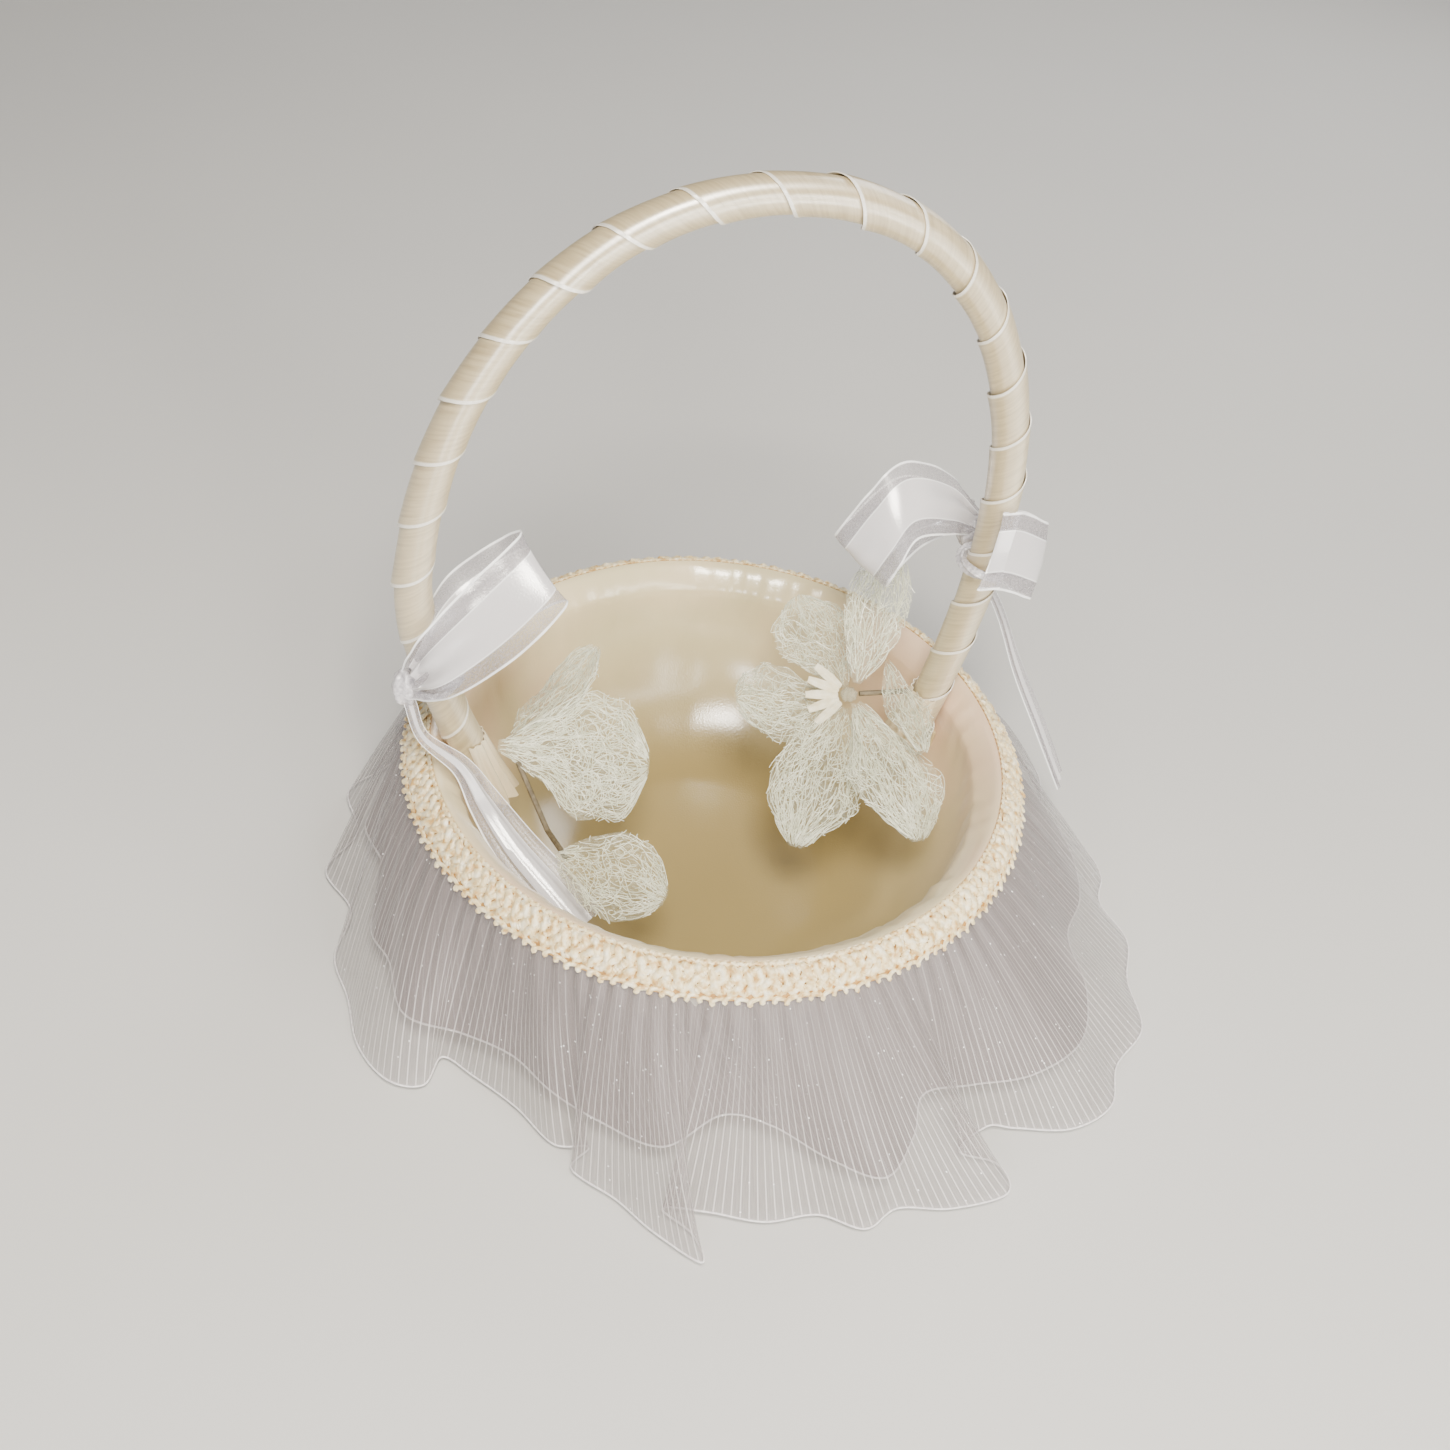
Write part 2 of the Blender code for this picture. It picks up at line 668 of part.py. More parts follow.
def build_finishes():
    """The finish of each kind of piece, by name."""
    return {
        "satin": finish("champagne_satin", (0.78, 0.66, 0.47), 0.30),
        "wadding": finish("white_wadding", (0.80, 0.80, 0.78), 0.95),
        "board": finish("grey_board", (0.45, 0.40, 0.33), 0.85),
        "braid": finish("gimp_braid", (0.80, 0.66, 0.42), 0.45),
        "tape": finish("cotton_tape", (0.80, 0.78, 0.74), 0.90),
        "organza": finish("white_organza", (0.72, 0.68, 0.68), 0.40),
        "hoop": finish("moulded_hoop", (0.75, 0.70, 0.60), 0.50),
        "glue": finish("hot_melt_glue", (0.75, 0.68, 0.50), 0.35),
        "bow": finish("organza_ribbon", (0.80, 0.78, 0.80), 0.30),
        "petal": finish("fibre_mesh", (0.78, 0.80, 0.68), 0.70),
        "wire": finish("green_wire", (0.20, 0.25, 0.12), 0.50),
        "stamen": finish("cream_paper", (0.85, 0.80, 0.62), 0.60),
    }


def main():
    """Builds the basket from its bowl outwards."""
    clear_scene()
    finishes = build_finishes()
    build_bowl(finishes)
    build_braid(finishes)
    build_skirt(finishes)
    build_handle(finishes)
    build_left_bow(finishes)
    build_right_bow(finishes)
    build_left_flower(finishes)
    build_right_flower(finishes)


main()
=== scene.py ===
"""Looks of a flower girl basket: satin, gimp braid, organza, sheer bows and fibre flowers."""

import logging
import math
import random
from dataclasses import dataclass
from enum import Enum

import bmesh
import bpy
from mathutils import Matrix, Vector, noise


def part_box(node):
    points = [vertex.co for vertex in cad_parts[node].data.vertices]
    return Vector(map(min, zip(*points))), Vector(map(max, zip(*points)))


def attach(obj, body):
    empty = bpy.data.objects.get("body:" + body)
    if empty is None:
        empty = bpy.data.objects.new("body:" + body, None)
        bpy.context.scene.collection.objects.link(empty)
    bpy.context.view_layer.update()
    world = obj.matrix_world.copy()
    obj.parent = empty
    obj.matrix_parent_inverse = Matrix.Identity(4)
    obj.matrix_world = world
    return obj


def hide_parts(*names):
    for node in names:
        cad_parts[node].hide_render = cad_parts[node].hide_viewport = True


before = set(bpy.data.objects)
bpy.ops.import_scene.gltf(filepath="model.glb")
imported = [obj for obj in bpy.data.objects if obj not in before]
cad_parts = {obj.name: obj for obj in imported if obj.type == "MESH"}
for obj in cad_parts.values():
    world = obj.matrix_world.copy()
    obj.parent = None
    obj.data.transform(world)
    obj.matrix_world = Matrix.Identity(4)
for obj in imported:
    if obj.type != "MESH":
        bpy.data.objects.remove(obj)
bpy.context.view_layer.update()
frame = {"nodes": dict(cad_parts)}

MM = 0.001
log = logging.getLogger("basket")


class Side(Enum):
    """A foot of the handle."""

    LEFT = -1
    RIGHT = 1


class Facing(Enum):
    """Which way a sheet's faces look for the order its points are given in."""

    AS_GIVEN = False
    TURNED = True


# Small tools ------------------------------------------------------------------------


def colour(code: str) -> tuple[float, float, float, float]:
    """Turns an sRGB hex colour into a linear one.

    Args:
        code: The colour as six hex digits.

    Returns:
        Linear red, green, blue and an alpha of 1.
    """
    parts = [int(code[place : place + 2], 16) / 255 for place in (0, 2, 4)]
    linear = [c / 12.92 if c <= 0.04045 else ((c + 0.055) / 1.055) ** 2.4 for c in parts]
    return (*linear, 1.0)


def fill(tree: bpy.types.NodeTree, node: bpy.types.Node, inputs: dict) -> None:
    """Sets or links a node's inputs.

    Args:
        tree: The node tree.
        node: The node.
        inputs: A socket to link from, or a value, for each input's name or number.
    """
    for key, value in inputs.items():
        if isinstance(value, bpy.types.NodeSocket):
            tree.links.new(value, node.inputs[key])
        else:
            node.inputs[key].default_value = value


def add(
    tree: bpy.types.NodeTree, kind: str, inputs: dict | None = None, out: int | str = 0, **settings
) -> bpy.types.NodeSocket:
    """Adds a node with its settings, values and links.

    Args:
        tree: The node tree.
        kind: The node's type, without the word that all shader nodes start with.
        inputs: A socket to link from, or a value, for each input's name or number.
        out: The number or name of the output to give back.
        settings: The node's own properties.

    Returns:
        The new node's output.
    """
    made = tree.nodes.new(f"ShaderNode{kind}")
    for key, value in settings.items():
        setattr(made, key, value)
    fill(tree, made, inputs or {})
    return made.outputs[out]


def blank(name: str) -> tuple[bpy.types.Material, bpy.types.NodeTree, bpy.types.Node]:
    """Starts a material.

    Args:
        name: The material's name.

    Returns:
        The material, its node tree and its Principled shader.
    """
    material = bpy.data.materials.new(name)
    material.use_nodes = True
    return material, material.node_tree, material.node_tree.nodes["Principled BSDF"]


def ramp(tree: bpy.types.NodeTree, socket: bpy.types.NodeSocket, stops: list[tuple]) -> bpy.types.NodeSocket:
    """Turns a value into a colour or a grey by stops.

    Args:
        tree: The node tree.
        socket: The value to read.
        stops: Pairs of a place from 0 to 1 and a grey or a linear colour.

    Returns:
        The ramp's colour output.
    """
    shaded = add(tree, "ValToRGB", {"Fac": socket})
    marks = shaded.node.color_ramp.elements
    while len(marks) < len(stops):
        marks.new(0.5)
    for mark, (place, _) in zip(marks, stops):
        mark.position = place
    for mark, (_, shade) in zip(marks, stops):
        mark.color = shade if isinstance(shade, tuple) else (shade, shade, shade, 1.0)
    return shaded


def wear(piece: bpy.types.Object, material: bpy.types.Material) -> None:
    """Gives a piece one material on all its faces."""
    piece.data.materials.clear()
    piece.data.materials.append(material)


def centre_of(node: str) -> Vector:
    """The middle of a CAD node's box."""
    low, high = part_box(node)
    return (low + high) / 2


def only(piece: bpy.types.Object) -> None:
    """Selects one object and nothing else.

    Args:
        piece: The object.
    """
    bpy.ops.object.select_all(action="DESELECT")
    piece.select_set(True)
    bpy.context.view_layer.objects.active = piece


def link(name: str, data: bpy.types.ID) -> bpy.types.Object:
    """Adds an object for a mesh or a curve to the scene.

    Args:
        name: The object's name.
        data: Its mesh or its curve.

    Returns:
        The object.
    """
    piece = bpy.data.objects.new(name, data)
    bpy.context.scene.collection.objects.link(piece)
    return piece


def smooth(piece: bpy.types.Object, angle: float = 50.0) -> None:
    """Shades a piece smooth, but for edges sharper than an angle in degrees."""
    only(piece)
    bpy.ops.object.shade_smooth_by_angle(angle=math.radians(angle))


def cloth(
    name: str,
    rows: list[list[Vector]],
    across: list[float],
    down: list[float],
    thickness: float = 0.0,
    facing: Facing = Facing.AS_GIVEN,
) -> bpy.types.Object:
    """Makes a sheet from rows of points, with UVs in the units of its two lists.

    Args:
        name: The piece's name.
        rows: Rows of points, each as long as the others.
        across: U for each column.
        down: V for each row.
        thickness: The sheet's thickness in metres, or 0 for a single face.
        facing: Whether its faces are turned over.

    Returns:
        The sheet, with rows or columns that meet merged.
    """
    width = len(rows[0])
    mesh = bpy.data.meshes.new(name)
    faces = []
    for row in range(len(rows) - 1):
        for column in range(width - 1):
            here = row * width + column
            faces.append((here, here + 1, here + width + 1, here + width))
    mesh.from_pydata([point for row in rows for point in row], [], faces)
    uv = mesh.uv_layers.new(name="UVMap")
    for loop in mesh.loops:
        row, column = divmod(loop.vertex_index, width)
        uv.data[loop.index].uv = (across[column], down[row])
    shape = bmesh.new()
    shape.from_mesh(mesh)
    bmesh.ops.remove_doubles(shape, verts=shape.verts, dist=1e-6)
    bmesh.ops.dissolve_degenerate(shape, edges=shape.edges, dist=1e-7)
    if facing is Facing.TURNED:
        bmesh.ops.reverse_faces(shape, faces=shape.faces)
    shape.to_mesh(mesh)
    shape.free()
    piece = link(name, mesh)
    if thickness:
        wall = piece.modifiers.new("thickness", "SOLIDIFY")
        wall.thickness = thickness
        wall.offset = 0
        only(piece)
        bpy.ops.object.modifier_apply(modifier=wall.name)
    smooth(piece)
    return piece


def cords(
    name: str, lines: list[list[Vector]], radius: float, closed: bool, sides: int = 6
) -> bpy.types.Object:
    """Makes round cords along lists of points, as one mesh.

    Args:
        name: The piece's name.
        lines: The points of each cord.
        radius: The cords' radius in metres.
        closed: Whether each cord's end meets its start.
        sides: The number of sides of a cord, which is even.

    Returns:
        The mesh of all the cords.
    """
    curve = bpy.data.curves.new(name, "CURVE")
    curve.dimensions = "3D"
    curve.bevel_depth = radius
    curve.bevel_resolution = (sides - 4) // 2
    curve.use_fill_caps = not closed
    for points in lines:
        line = curve.splines.new("POLY")
        line.points.add(len(points) - 1)
        for spot, point in zip(line.points, points):
            spot.co = (*point, 1)
        line.use_cyclic_u = closed
    piece = link(name, curve)
    only(piece)
    bpy.ops.object.convert(target="MESH")
    piece = bpy.context.view_layer.objects.active
    piece.name = name
    smooth(piece, 80)
    return piece


def between(points: list[tuple], steps: int, closed: bool = False) -> list[Vector]:
    """Reads a smooth curve through chosen points.

    Args:
        points: The chosen points, as tuples of any length from 2 to 3.
        steps: The number of points to read in each stretch.
        closed: Whether the curve runs on from its last point to its first.

    Returns:
        Points on a Catmull-Rom curve.
    """
    spots = [Vector(point) for point in points]
    if not closed:
        spots = [spots[0] * 2 - spots[1]] + spots + [spots[-1] * 2 - spots[-2]]
    count = len(spots) if closed else len(spots) - 3
    found = []
    for index in range(count):
        a, b, c, d = (spots[(index + offset) % len(spots)] for offset in range(4))
        for step in range(steps):
            t = step / steps
            bend = b * 2 + (c - a) * t + (a * 2 - b * 5 + c * 4 - d) * t**2 + (b * 3 - a - c * 3 + d) * t**3
            found.append(bend / 2)
    if not closed:
        found.append(spots[-2])
    return found


def square_axes(along: Vector, across: Vector) -> tuple[Vector, Vector, Vector]:
    """Unit vectors along, across and out of a surface.

    Args:
        along: The first direction.
        across: Roughly the second one.

    Returns:
        The three unit vectors, square to each other.
    """
    along = along.normalized()
    across = (across - along * across.dot(along)).normalized()
    return along, across, along.cross(across)


def length_of(points: list[Vector]) -> float:
    """The length of a line through points."""
    return sum((b - a).length for a, b in zip(points, points[1:]))


def spread(length: float, steps: int) -> list[float]:
    """Even marks from 0 to a length, one more than the steps."""
    return [length * step / steps for step in range(steps + 1)]


def strip(
    name: str,
    rows: list[list[Vector]],
    length: float,
    thickness: float = 0.0,
    facing: Facing = Facing.AS_GIVEN,
) -> bpy.types.Object:
    """Makes a ribbon from rows of points across it. U is metres along it and V runs across it from 0 to 1.

    Args:
        name: The piece's name.
        rows: The points across it, for each step along it.
        length: The ribbon's length.
        thickness: Its thickness, or 0 for a single face.
        facing: Whether its faces are turned over.

    Returns:
        The ribbon.
    """
    lines = [list(line) for line in zip(*rows)]
    return cloth(name, lines, spread(length, len(rows) - 1), spread(1, len(lines) - 1), thickness, facing)


def finish_piece(
    piece: bpy.types.Object, material: bpy.types.Material, slot: str, *nodes: str, body: str = "basket"
) -> None:
    """Dresses a piece, rides it on its body, and lets it stand for its CAD nodes.

    Args:
        piece: The finished mesh.
        material: Its material.
        slot: The record's material slot; not used.
        nodes: The CAD nodes that it replaces.
        body: The CAD body that it moves with.
    """
    wear(piece, material)
    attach(piece, body)
    if nodes:
        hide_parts(*nodes)
    log.info("%s: %d faces", piece.name, len(piece.data.polygons))


# Finishes ---------------------------------------------------------------------------


@dataclass(frozen=True)
class Satin:
    """Polyester satin, woven with long floats, which give it a soft mirror and pearly tints."""

    name: str
    light: str
    warm: str
    green: str
    roughness: float = 0.30
    cloud_mm: float = 60.0  # size of the soft patches of tint
    thread_mm: float = 0.6  # threads are 0.15 mm apart, drawn this coarse so that they show
    bump: float = 0.10
    painted_floor_shade: str | None = None  # the tint on the bowl's floor: painted shade, darker towards the bottom
    painted_floor_shade_height: tuple[float, float] = (0.008, 0.050)

    def build(self) -> bpy.types.Material:
        """Makes the material.

        Returns:
            The material.
        """
        material, tree, shader = blank(self.name)
        place = add(tree, "TexCoord", out="Object")
        cloud = add(tree, "TexNoise", {"Vector": place, "Scale": 1 / (self.cloud_mm * MM), "Detail": 2.0})
        tint = ramp(
            tree, cloud, [(0.35, colour(self.warm)), (0.5, colour(self.light)), (0.66, colour(self.green))]
        )
        # Painted shade: the colour turns to a darker tint towards the bowl's floor.
        if self.painted_floor_shade:
            height = add(tree, "SeparateXYZ", {"Vector": place}, "Z")
            low, high = self.painted_floor_shade_height
            rise = add(
                tree,
                "MapRange",
                {"Value": height, "From Min": low, "From Max": high},
                interpolation_type="SMOOTHSTEP",
            )
            mix = {"Factor": rise, "A": colour(self.painted_floor_shade), "B": tint}
            tint = add(tree, "Mix", mix, "Result", data_type="RGBA")
        stretch = add(tree, "Mapping", {"Vector": place, "Scale": (1.0, 1.0, 0.12)})
        thread = add(tree, "TexNoise", {"Vector": stretch, "Scale": 1 / (self.thread_mm * MM), "Detail": 1.0})
        relief = add(tree, "Bump", {"Height": thread, "Strength": self.bump, "Distance": 0.0002})
        rough = add(
            tree,
            "MapRange",
            {"Value": thread, "To Min": self.roughness - 0.05, "To Max": self.roughness + 0.08},
        )
        fill(tree, shader, {
            "Base Color": tint,
            "Roughness": rough,
            "Normal": relief,
            "Specular IOR Level": 0.75,
            "Coat Weight": 0.35,
            "Coat Roughness": 0.22,
            "Sheen Weight": 0.15,
            "Sheen Roughness": 0.4,
        })
        return material


@dataclass(frozen=True)
class WovenRibbon:
    """Single-face satin ribbon, with a firm selvage along each edge. V runs across it from 0 to 1."""

    name: str = "ivory_satin_ribbon"
    light: str = "CDBB92"
    shade: str = "B4A076"

    def build(self) -> bpy.types.Material:
        """Makes the material.

        Returns:
            The material.
        """
        material, tree, shader = blank(self.name)
        uv = add(tree, "UVMap", uv_map="UVMap")
        across = add(tree, "SeparateXYZ", {"Vector": uv}, "Y")
        edge = ramp(
            tree, across, [(0.0, 1.0), (0.035, 1.0), (0.05, 0.0), (0.95, 0.0), (0.965, 1.0), (1.0, 1.0)]
        )
        weave = add(tree, "Mapping", {"Vector": uv, "Scale": (1 / (14 * MM), 26.0, 1.0)})
        grain = add(tree, "TexNoise", {"Vector": weave, "Scale": 1.0, "Detail": 2.0})
        body = ramp(tree, grain, [(0.3, colour(self.shade)), (0.62, colour(self.light))])
        tint = add(
            tree, "Mix", {"Factor": edge, "A": body, "B": colour("F8F2E4")}, "Result", data_type="RGBA"
        )
        picot = add(tree, "Mapping", {"Vector": uv, "Scale": (1 / (1.2 * MM), 1.0, 1.0)})
        tooth = add(tree, "TexWave", {"Vector": picot, "Scale": 1.0, "Distortion": 0.0}, "Fac")
        raised = add(tree, "Math", {0: tooth, 1: edge}, operation="MULTIPLY")
        height = add(tree, "Math", {0: grain, 1: raised}, operation="ADD")
        relief = add(tree, "Bump", {"Height": height, "Strength": 0.25, "Distance": 0.0002})
        # The floats run along the ribbon, so its gloss is drawn out across it, as a streak down the handle.
        floats = add(tree, "Tangent", direction_type="UV_MAP", uv_map="UVMap")
        fill(tree, shader, {
            "Base Color": tint,
            "Normal": relief,
            "Tangent": floats,
            "Anisotropic": 0.85,
            "Anisotropic Rotation": 0.25,
            "Roughness": 0.36,
            "IOR": 2.2,  # the floats gloss more than a plain polyester face, whose IOR is 1.6
            "Specular IOR Level": 1.0,
            "Coat Weight": 0.25,
            "Coat Roughness": 0.16,
            "Sheen Weight": 0.1,
            "Sheen Roughness": 0.4,
        })
        return material


@dataclass(frozen=True)
class Organza:
    """Crisp sheer organza with a pinstripe of heavier threads down its fall. U and V are metres."""

    name: str = "pinstripe_organza"
    thread: str = "9C9290"
    stripe: str = "E2DCD9"
    stripe_gap_mm: float = 2.7
    stripe_share: float = 0.12
    ground: float = 0.38  # how much the open weave covers
    line: float = 0.62  # how much a stripe covers

    def build(self) -> bpy.types.Material:
        """Makes the material.

        Returns:
            The material.
        """
        material, tree, shader = blank(self.name)
        uv = add(tree, "UVMap", uv_map="UVMap")
        aside = add(tree, "SeparateXYZ", {"Vector": uv}, "X")
        below = add(tree, "SeparateXYZ", {"Vector": uv}, "Y")
        steps = add(tree, "Math", {0: aside, 1: self.stripe_gap_mm * MM}, operation="DIVIDE")
        along = add(tree, "Math", {0: steps}, operation="FRACT")
        half = self.stripe_share / 2
        striped = ramp(
            tree,
            along,
            [
                (0.0, 0.0),
                (0.5 - half * 1.6, 0.0),
                (0.5 - half, 1.0),
                (0.5 + half, 1.0),
                (0.5 + half * 1.6, 0.0),
            ],
        )
        # The stripes close up and fade towards the gathers, where V is 0.
        fall = add(
            tree,
            "MapRange",
            {"Value": below, "From Min": 0.0, "From Max": 0.055, "To Min": 0.22, "To Max": 1.0},
        )
        striped = add(tree, "Math", {0: striped, 1: fall}, operation="MULTIPLY")
        weave = add(tree, "Mapping", {"Vector": uv, "Scale": (1 / (0.7 * MM), 1 / (9 * MM), 1.0)})
        grain = add(tree, "TexNoise", {"Vector": weave, "Scale": 1.0, "Detail": 2.0})
        loose = add(
            tree,
            "MapRange",
            {
                "Value": grain,
                "From Min": 0.3,
                "From Max": 0.7,
                "To Min": self.ground - 0.07,
                "To Max": self.ground + 0.07,
            },
        )
        cover = add(tree, "Mix", {"Factor": striped, "A": loose, "B": self.line})
        tint = add(
            tree,
            "Mix",
            {"Factor": striped, "A": colour(self.thread), "B": colour(self.stripe)},
            "Result",
            data_type="RGBA",
        )
        # Painted glints: tiny white dots put into the colour and the alpha, standing in for light caught by
        # the threads.
        painted_glint_cells = add(tree, "TexVoronoi", {"Vector": uv, "Scale": 1 / (4.5 * MM), "Randomness": 1.0})
        painted_glint = ramp(tree, painted_glint_cells, [(0.0, 1.0), (0.05, 1.0), (0.08, 0.0)])
        painted_highlight = add(
            tree, "Mix", {"Factor": painted_glint, "A": tint, "B": colour("FFFFFF")}, "Result", data_type="RGBA"
        )
        solid = add(tree, "Math", {0: cover, 1: painted_glint}, operation="MAXIMUM")
        relief = add(tree, "Bump", {"Height": striped, "Strength": 0.3, "Distance": 0.0002})
        fill(tree, shader, {
            "Base Color": painted_highlight,
            "Alpha": solid,
            "Normal": relief,
            "Roughness": 0.42,
            "Specular IOR Level": 0.6,
            "Sheen Weight": 0.35,
            "Sheen Roughness": 0.35,
        })
        return material


@dataclass(frozen=True)
class SheerRibbon:
    """Sheer ribbon with a satin stripe down its middle, a painted highlight line along each side of the
    stripe, and bright selvages. V runs across it from 0 to 1.
    """

    name: str = "satin_stripe_organza_ribbon"
    satin: str = "D6D2D3"
    sheer: str = "A8A2A6"
    cover: float = 0.46  # how much the sheer bands cover

    def build(self) -> bpy.types.Material:
        """Makes the material.

        Returns:
            The material.
        """
        material, tree, shader = blank(self.name)
        uv = add(tree, "UVMap", uv_map="UVMap")
        across = add(tree, "SeparateXYZ", {"Vector": uv}, "Y")
        middle = ramp(
            tree, across, [(0.0, 0.0), (0.22, 0.0), (0.24, 1.0), (0.76, 1.0), (0.78, 0.0), (1.0, 0.0)]
        )
        edge = ramp(
            tree, across, [(0.0, 1.0), (0.022, 1.0), (0.035, 0.0), (0.965, 0.0), (0.978, 1.0), (1.0, 1.0)]
        )
        weave = add(tree, "Mapping", {"Vector": uv, "Scale": (1 / (0.7 * MM), 36.0, 1.0)})
        grain = add(tree, "TexNoise", {"Vector": weave, "Scale": 1.0, "Detail": 2.0})
        speckle = ramp(tree, grain, [(0.35, self.cover - 0.16), (0.65, self.cover + 0.16)])
        # Painted highlight: a thin white line along each side of the satin stripe, which joins the selvages
        # in the edge mask below.
        painted_highlight = ramp(
            tree,
            across,
            [(0.0, 0.0), (0.225, 0.0), (0.235, 1.0), (0.25, 0.0), (0.75, 0.0), (0.765, 1.0), (0.775, 0.0)],
        )
        edge = add(tree, "Math", {0: edge, 1: painted_highlight}, operation="MAXIMUM")
        firm = add(tree, "Math", {0: middle, 1: edge}, operation="MAXIMUM")
        alpha = add(
            tree,
            "Mix",
            {"Factor": firm, "A": speckle, "B": (0.97, 0.97, 0.97, 1.0)},
            "Result",
            data_type="RGBA",
        )
        body = add(
            tree,
            "Mix",
            {"Factor": middle, "A": colour(self.sheer), "B": colour(self.satin)},
            "Result",
            data_type="RGBA",
        )
        tint = add(
            tree, "Mix", {"Factor": edge, "A": body, "B": colour("FFFFFF")}, "Result", data_type="RGBA"
        )
        rough = add(tree, "Mix", {"Factor": middle, "A": 0.40, "B": 0.16})
        relief = add(tree, "Bump", {"Height": grain, "Strength": 0.2, "Distance": 0.0002})
        fill(tree, shader, {
            "Base Color": tint,
            "Alpha": alpha,
            "Roughness": rough,
            "Normal": relief,
            "Specular IOR Level": 0.8,
            "Coat Weight": 0.3,
            "Coat Roughness": 0.15,
            "Sheen Weight": 0.2,
            "Sheen Roughness": 0.3,
        })
        return material


@dataclass(frozen=True)
class Gimp:
    """Gimp cord: rayon yarn wound round a cotton core, in random patches from gold to near white; the
    gold-brown of its hollows is painted shade on the braid's ground.
    """

    name: str = "gold_gimp_yarn"
    light: str = "F4E0AE"
    gold: str = "CFA562"
    wind_mm: float = 0.9  # the yarn's turns are 0.3 mm apart, drawn this coarse so that they show

    def build(self) -> bpy.types.Material:
        """Makes the material.

        Returns:
            The material.
        """
        material, tree, shader = blank(self.name)
        place = add(tree, "TexCoord", out="Object")
        patch = add(tree, "TexNoise", {"Vector": place, "Scale": 1 / (2.2 * MM), "Detail": 2.0})
        tint = ramp(
            tree, patch, [(0.32, colour(self.gold)), (0.50, colour(self.light)), (0.72, colour("FFF6DC"))]
        )
        wind = add(tree, "TexNoise", {"Vector": place, "Scale": 1 / (self.wind_mm * MM), "Detail": 2.0})
        relief = add(tree, "Bump", {"Height": wind, "Strength": 0.8, "Distance": 0.0004})
        fill(tree, shader, {
            "Base Color": tint,
            "Normal": relief,
            "Roughness": 0.33,
            "Specular IOR Level": 0.8,
            "Sheen Weight": 0.3,
            "Sheen Roughness": 0.3,
        })
        return material


@dataclass(frozen=True)
class FibreWeb:
    """Pressed web of fine nylon fibres, half open between them. U and V are metres."""

    name: str = "pressed_fibre_web"
    pale: str = "E0DFC6"
    clump_mm: float = 1.3
    least: float = 0.05
    most: float = 0.42

    def build(self) -> bpy.types.Material:
        """Makes the material.

        Returns:
            The material.
        """
        material, tree, shader = blank(self.name)
        uv = add(tree, "UVMap", uv_map="UVMap")
        stretch = add(tree, "Mapping", {"Vector": uv, "Scale": (2.0, 0.6, 1.0)})
        clump = add(
            tree,
            "TexNoise",
            {"Vector": stretch, "Scale": 1 / (self.clump_mm * MM), "Detail": 4.0, "Roughness": 0.7},
        )
        cover = add(
            tree,
            "MapRange",
            {"Value": clump, "From Min": 0.36, "From Max": 0.62, "To Min": self.least, "To Max": self.most},
        )
        tint = ramp(tree, clump, [(0.3, colour("BFC3A8")), (0.6, colour(self.pale))])
        relief = add(tree, "Bump", {"Height": clump, "Strength": 0.6, "Distance": 0.0004})
        fill(tree, shader, {
            "Base Color": tint,
            "Alpha": cover,
            "Normal": relief,
            "Roughness": 0.5,
            "Sheen Weight": 0.3,
            "Sheen Roughness": 0.4,
        })
        return material


@dataclass(frozen=True)
class Plain:
    """A finish of one colour with a fine grain, for pieces that are mostly out of sight."""

    name: str
    light: str
    dark: str
    grain_mm: float
    roughness: float
    bump: float = 0.3
    level: float = 0.5
    coat: float = 0.0

    def build(self) -> bpy.types.Material:
        """Makes the material.

        Returns:
            The material.
        """
        material, tree, shader = blank(self.name)
        place = add(tree, "TexCoord", out="Object")
        grain = add(tree, "TexNoise", {"Vector": place, "Scale": 1 / (self.grain_mm * MM), "Detail": 4.0})
        tint = ramp(tree, grain, [(0.3, colour(self.dark)), (0.7, colour(self.light))])
        relief = add(tree, "Bump", {"Height": grain, "Strength": self.bump, "Distance": 0.0003})
        fill(tree, shader, {
            "Base Color": tint,
            "Normal": relief,
            "Roughness": self.roughness,
            "Specular IOR Level": self.level,
            "Coat Weight": self.coat,
        })
        return material


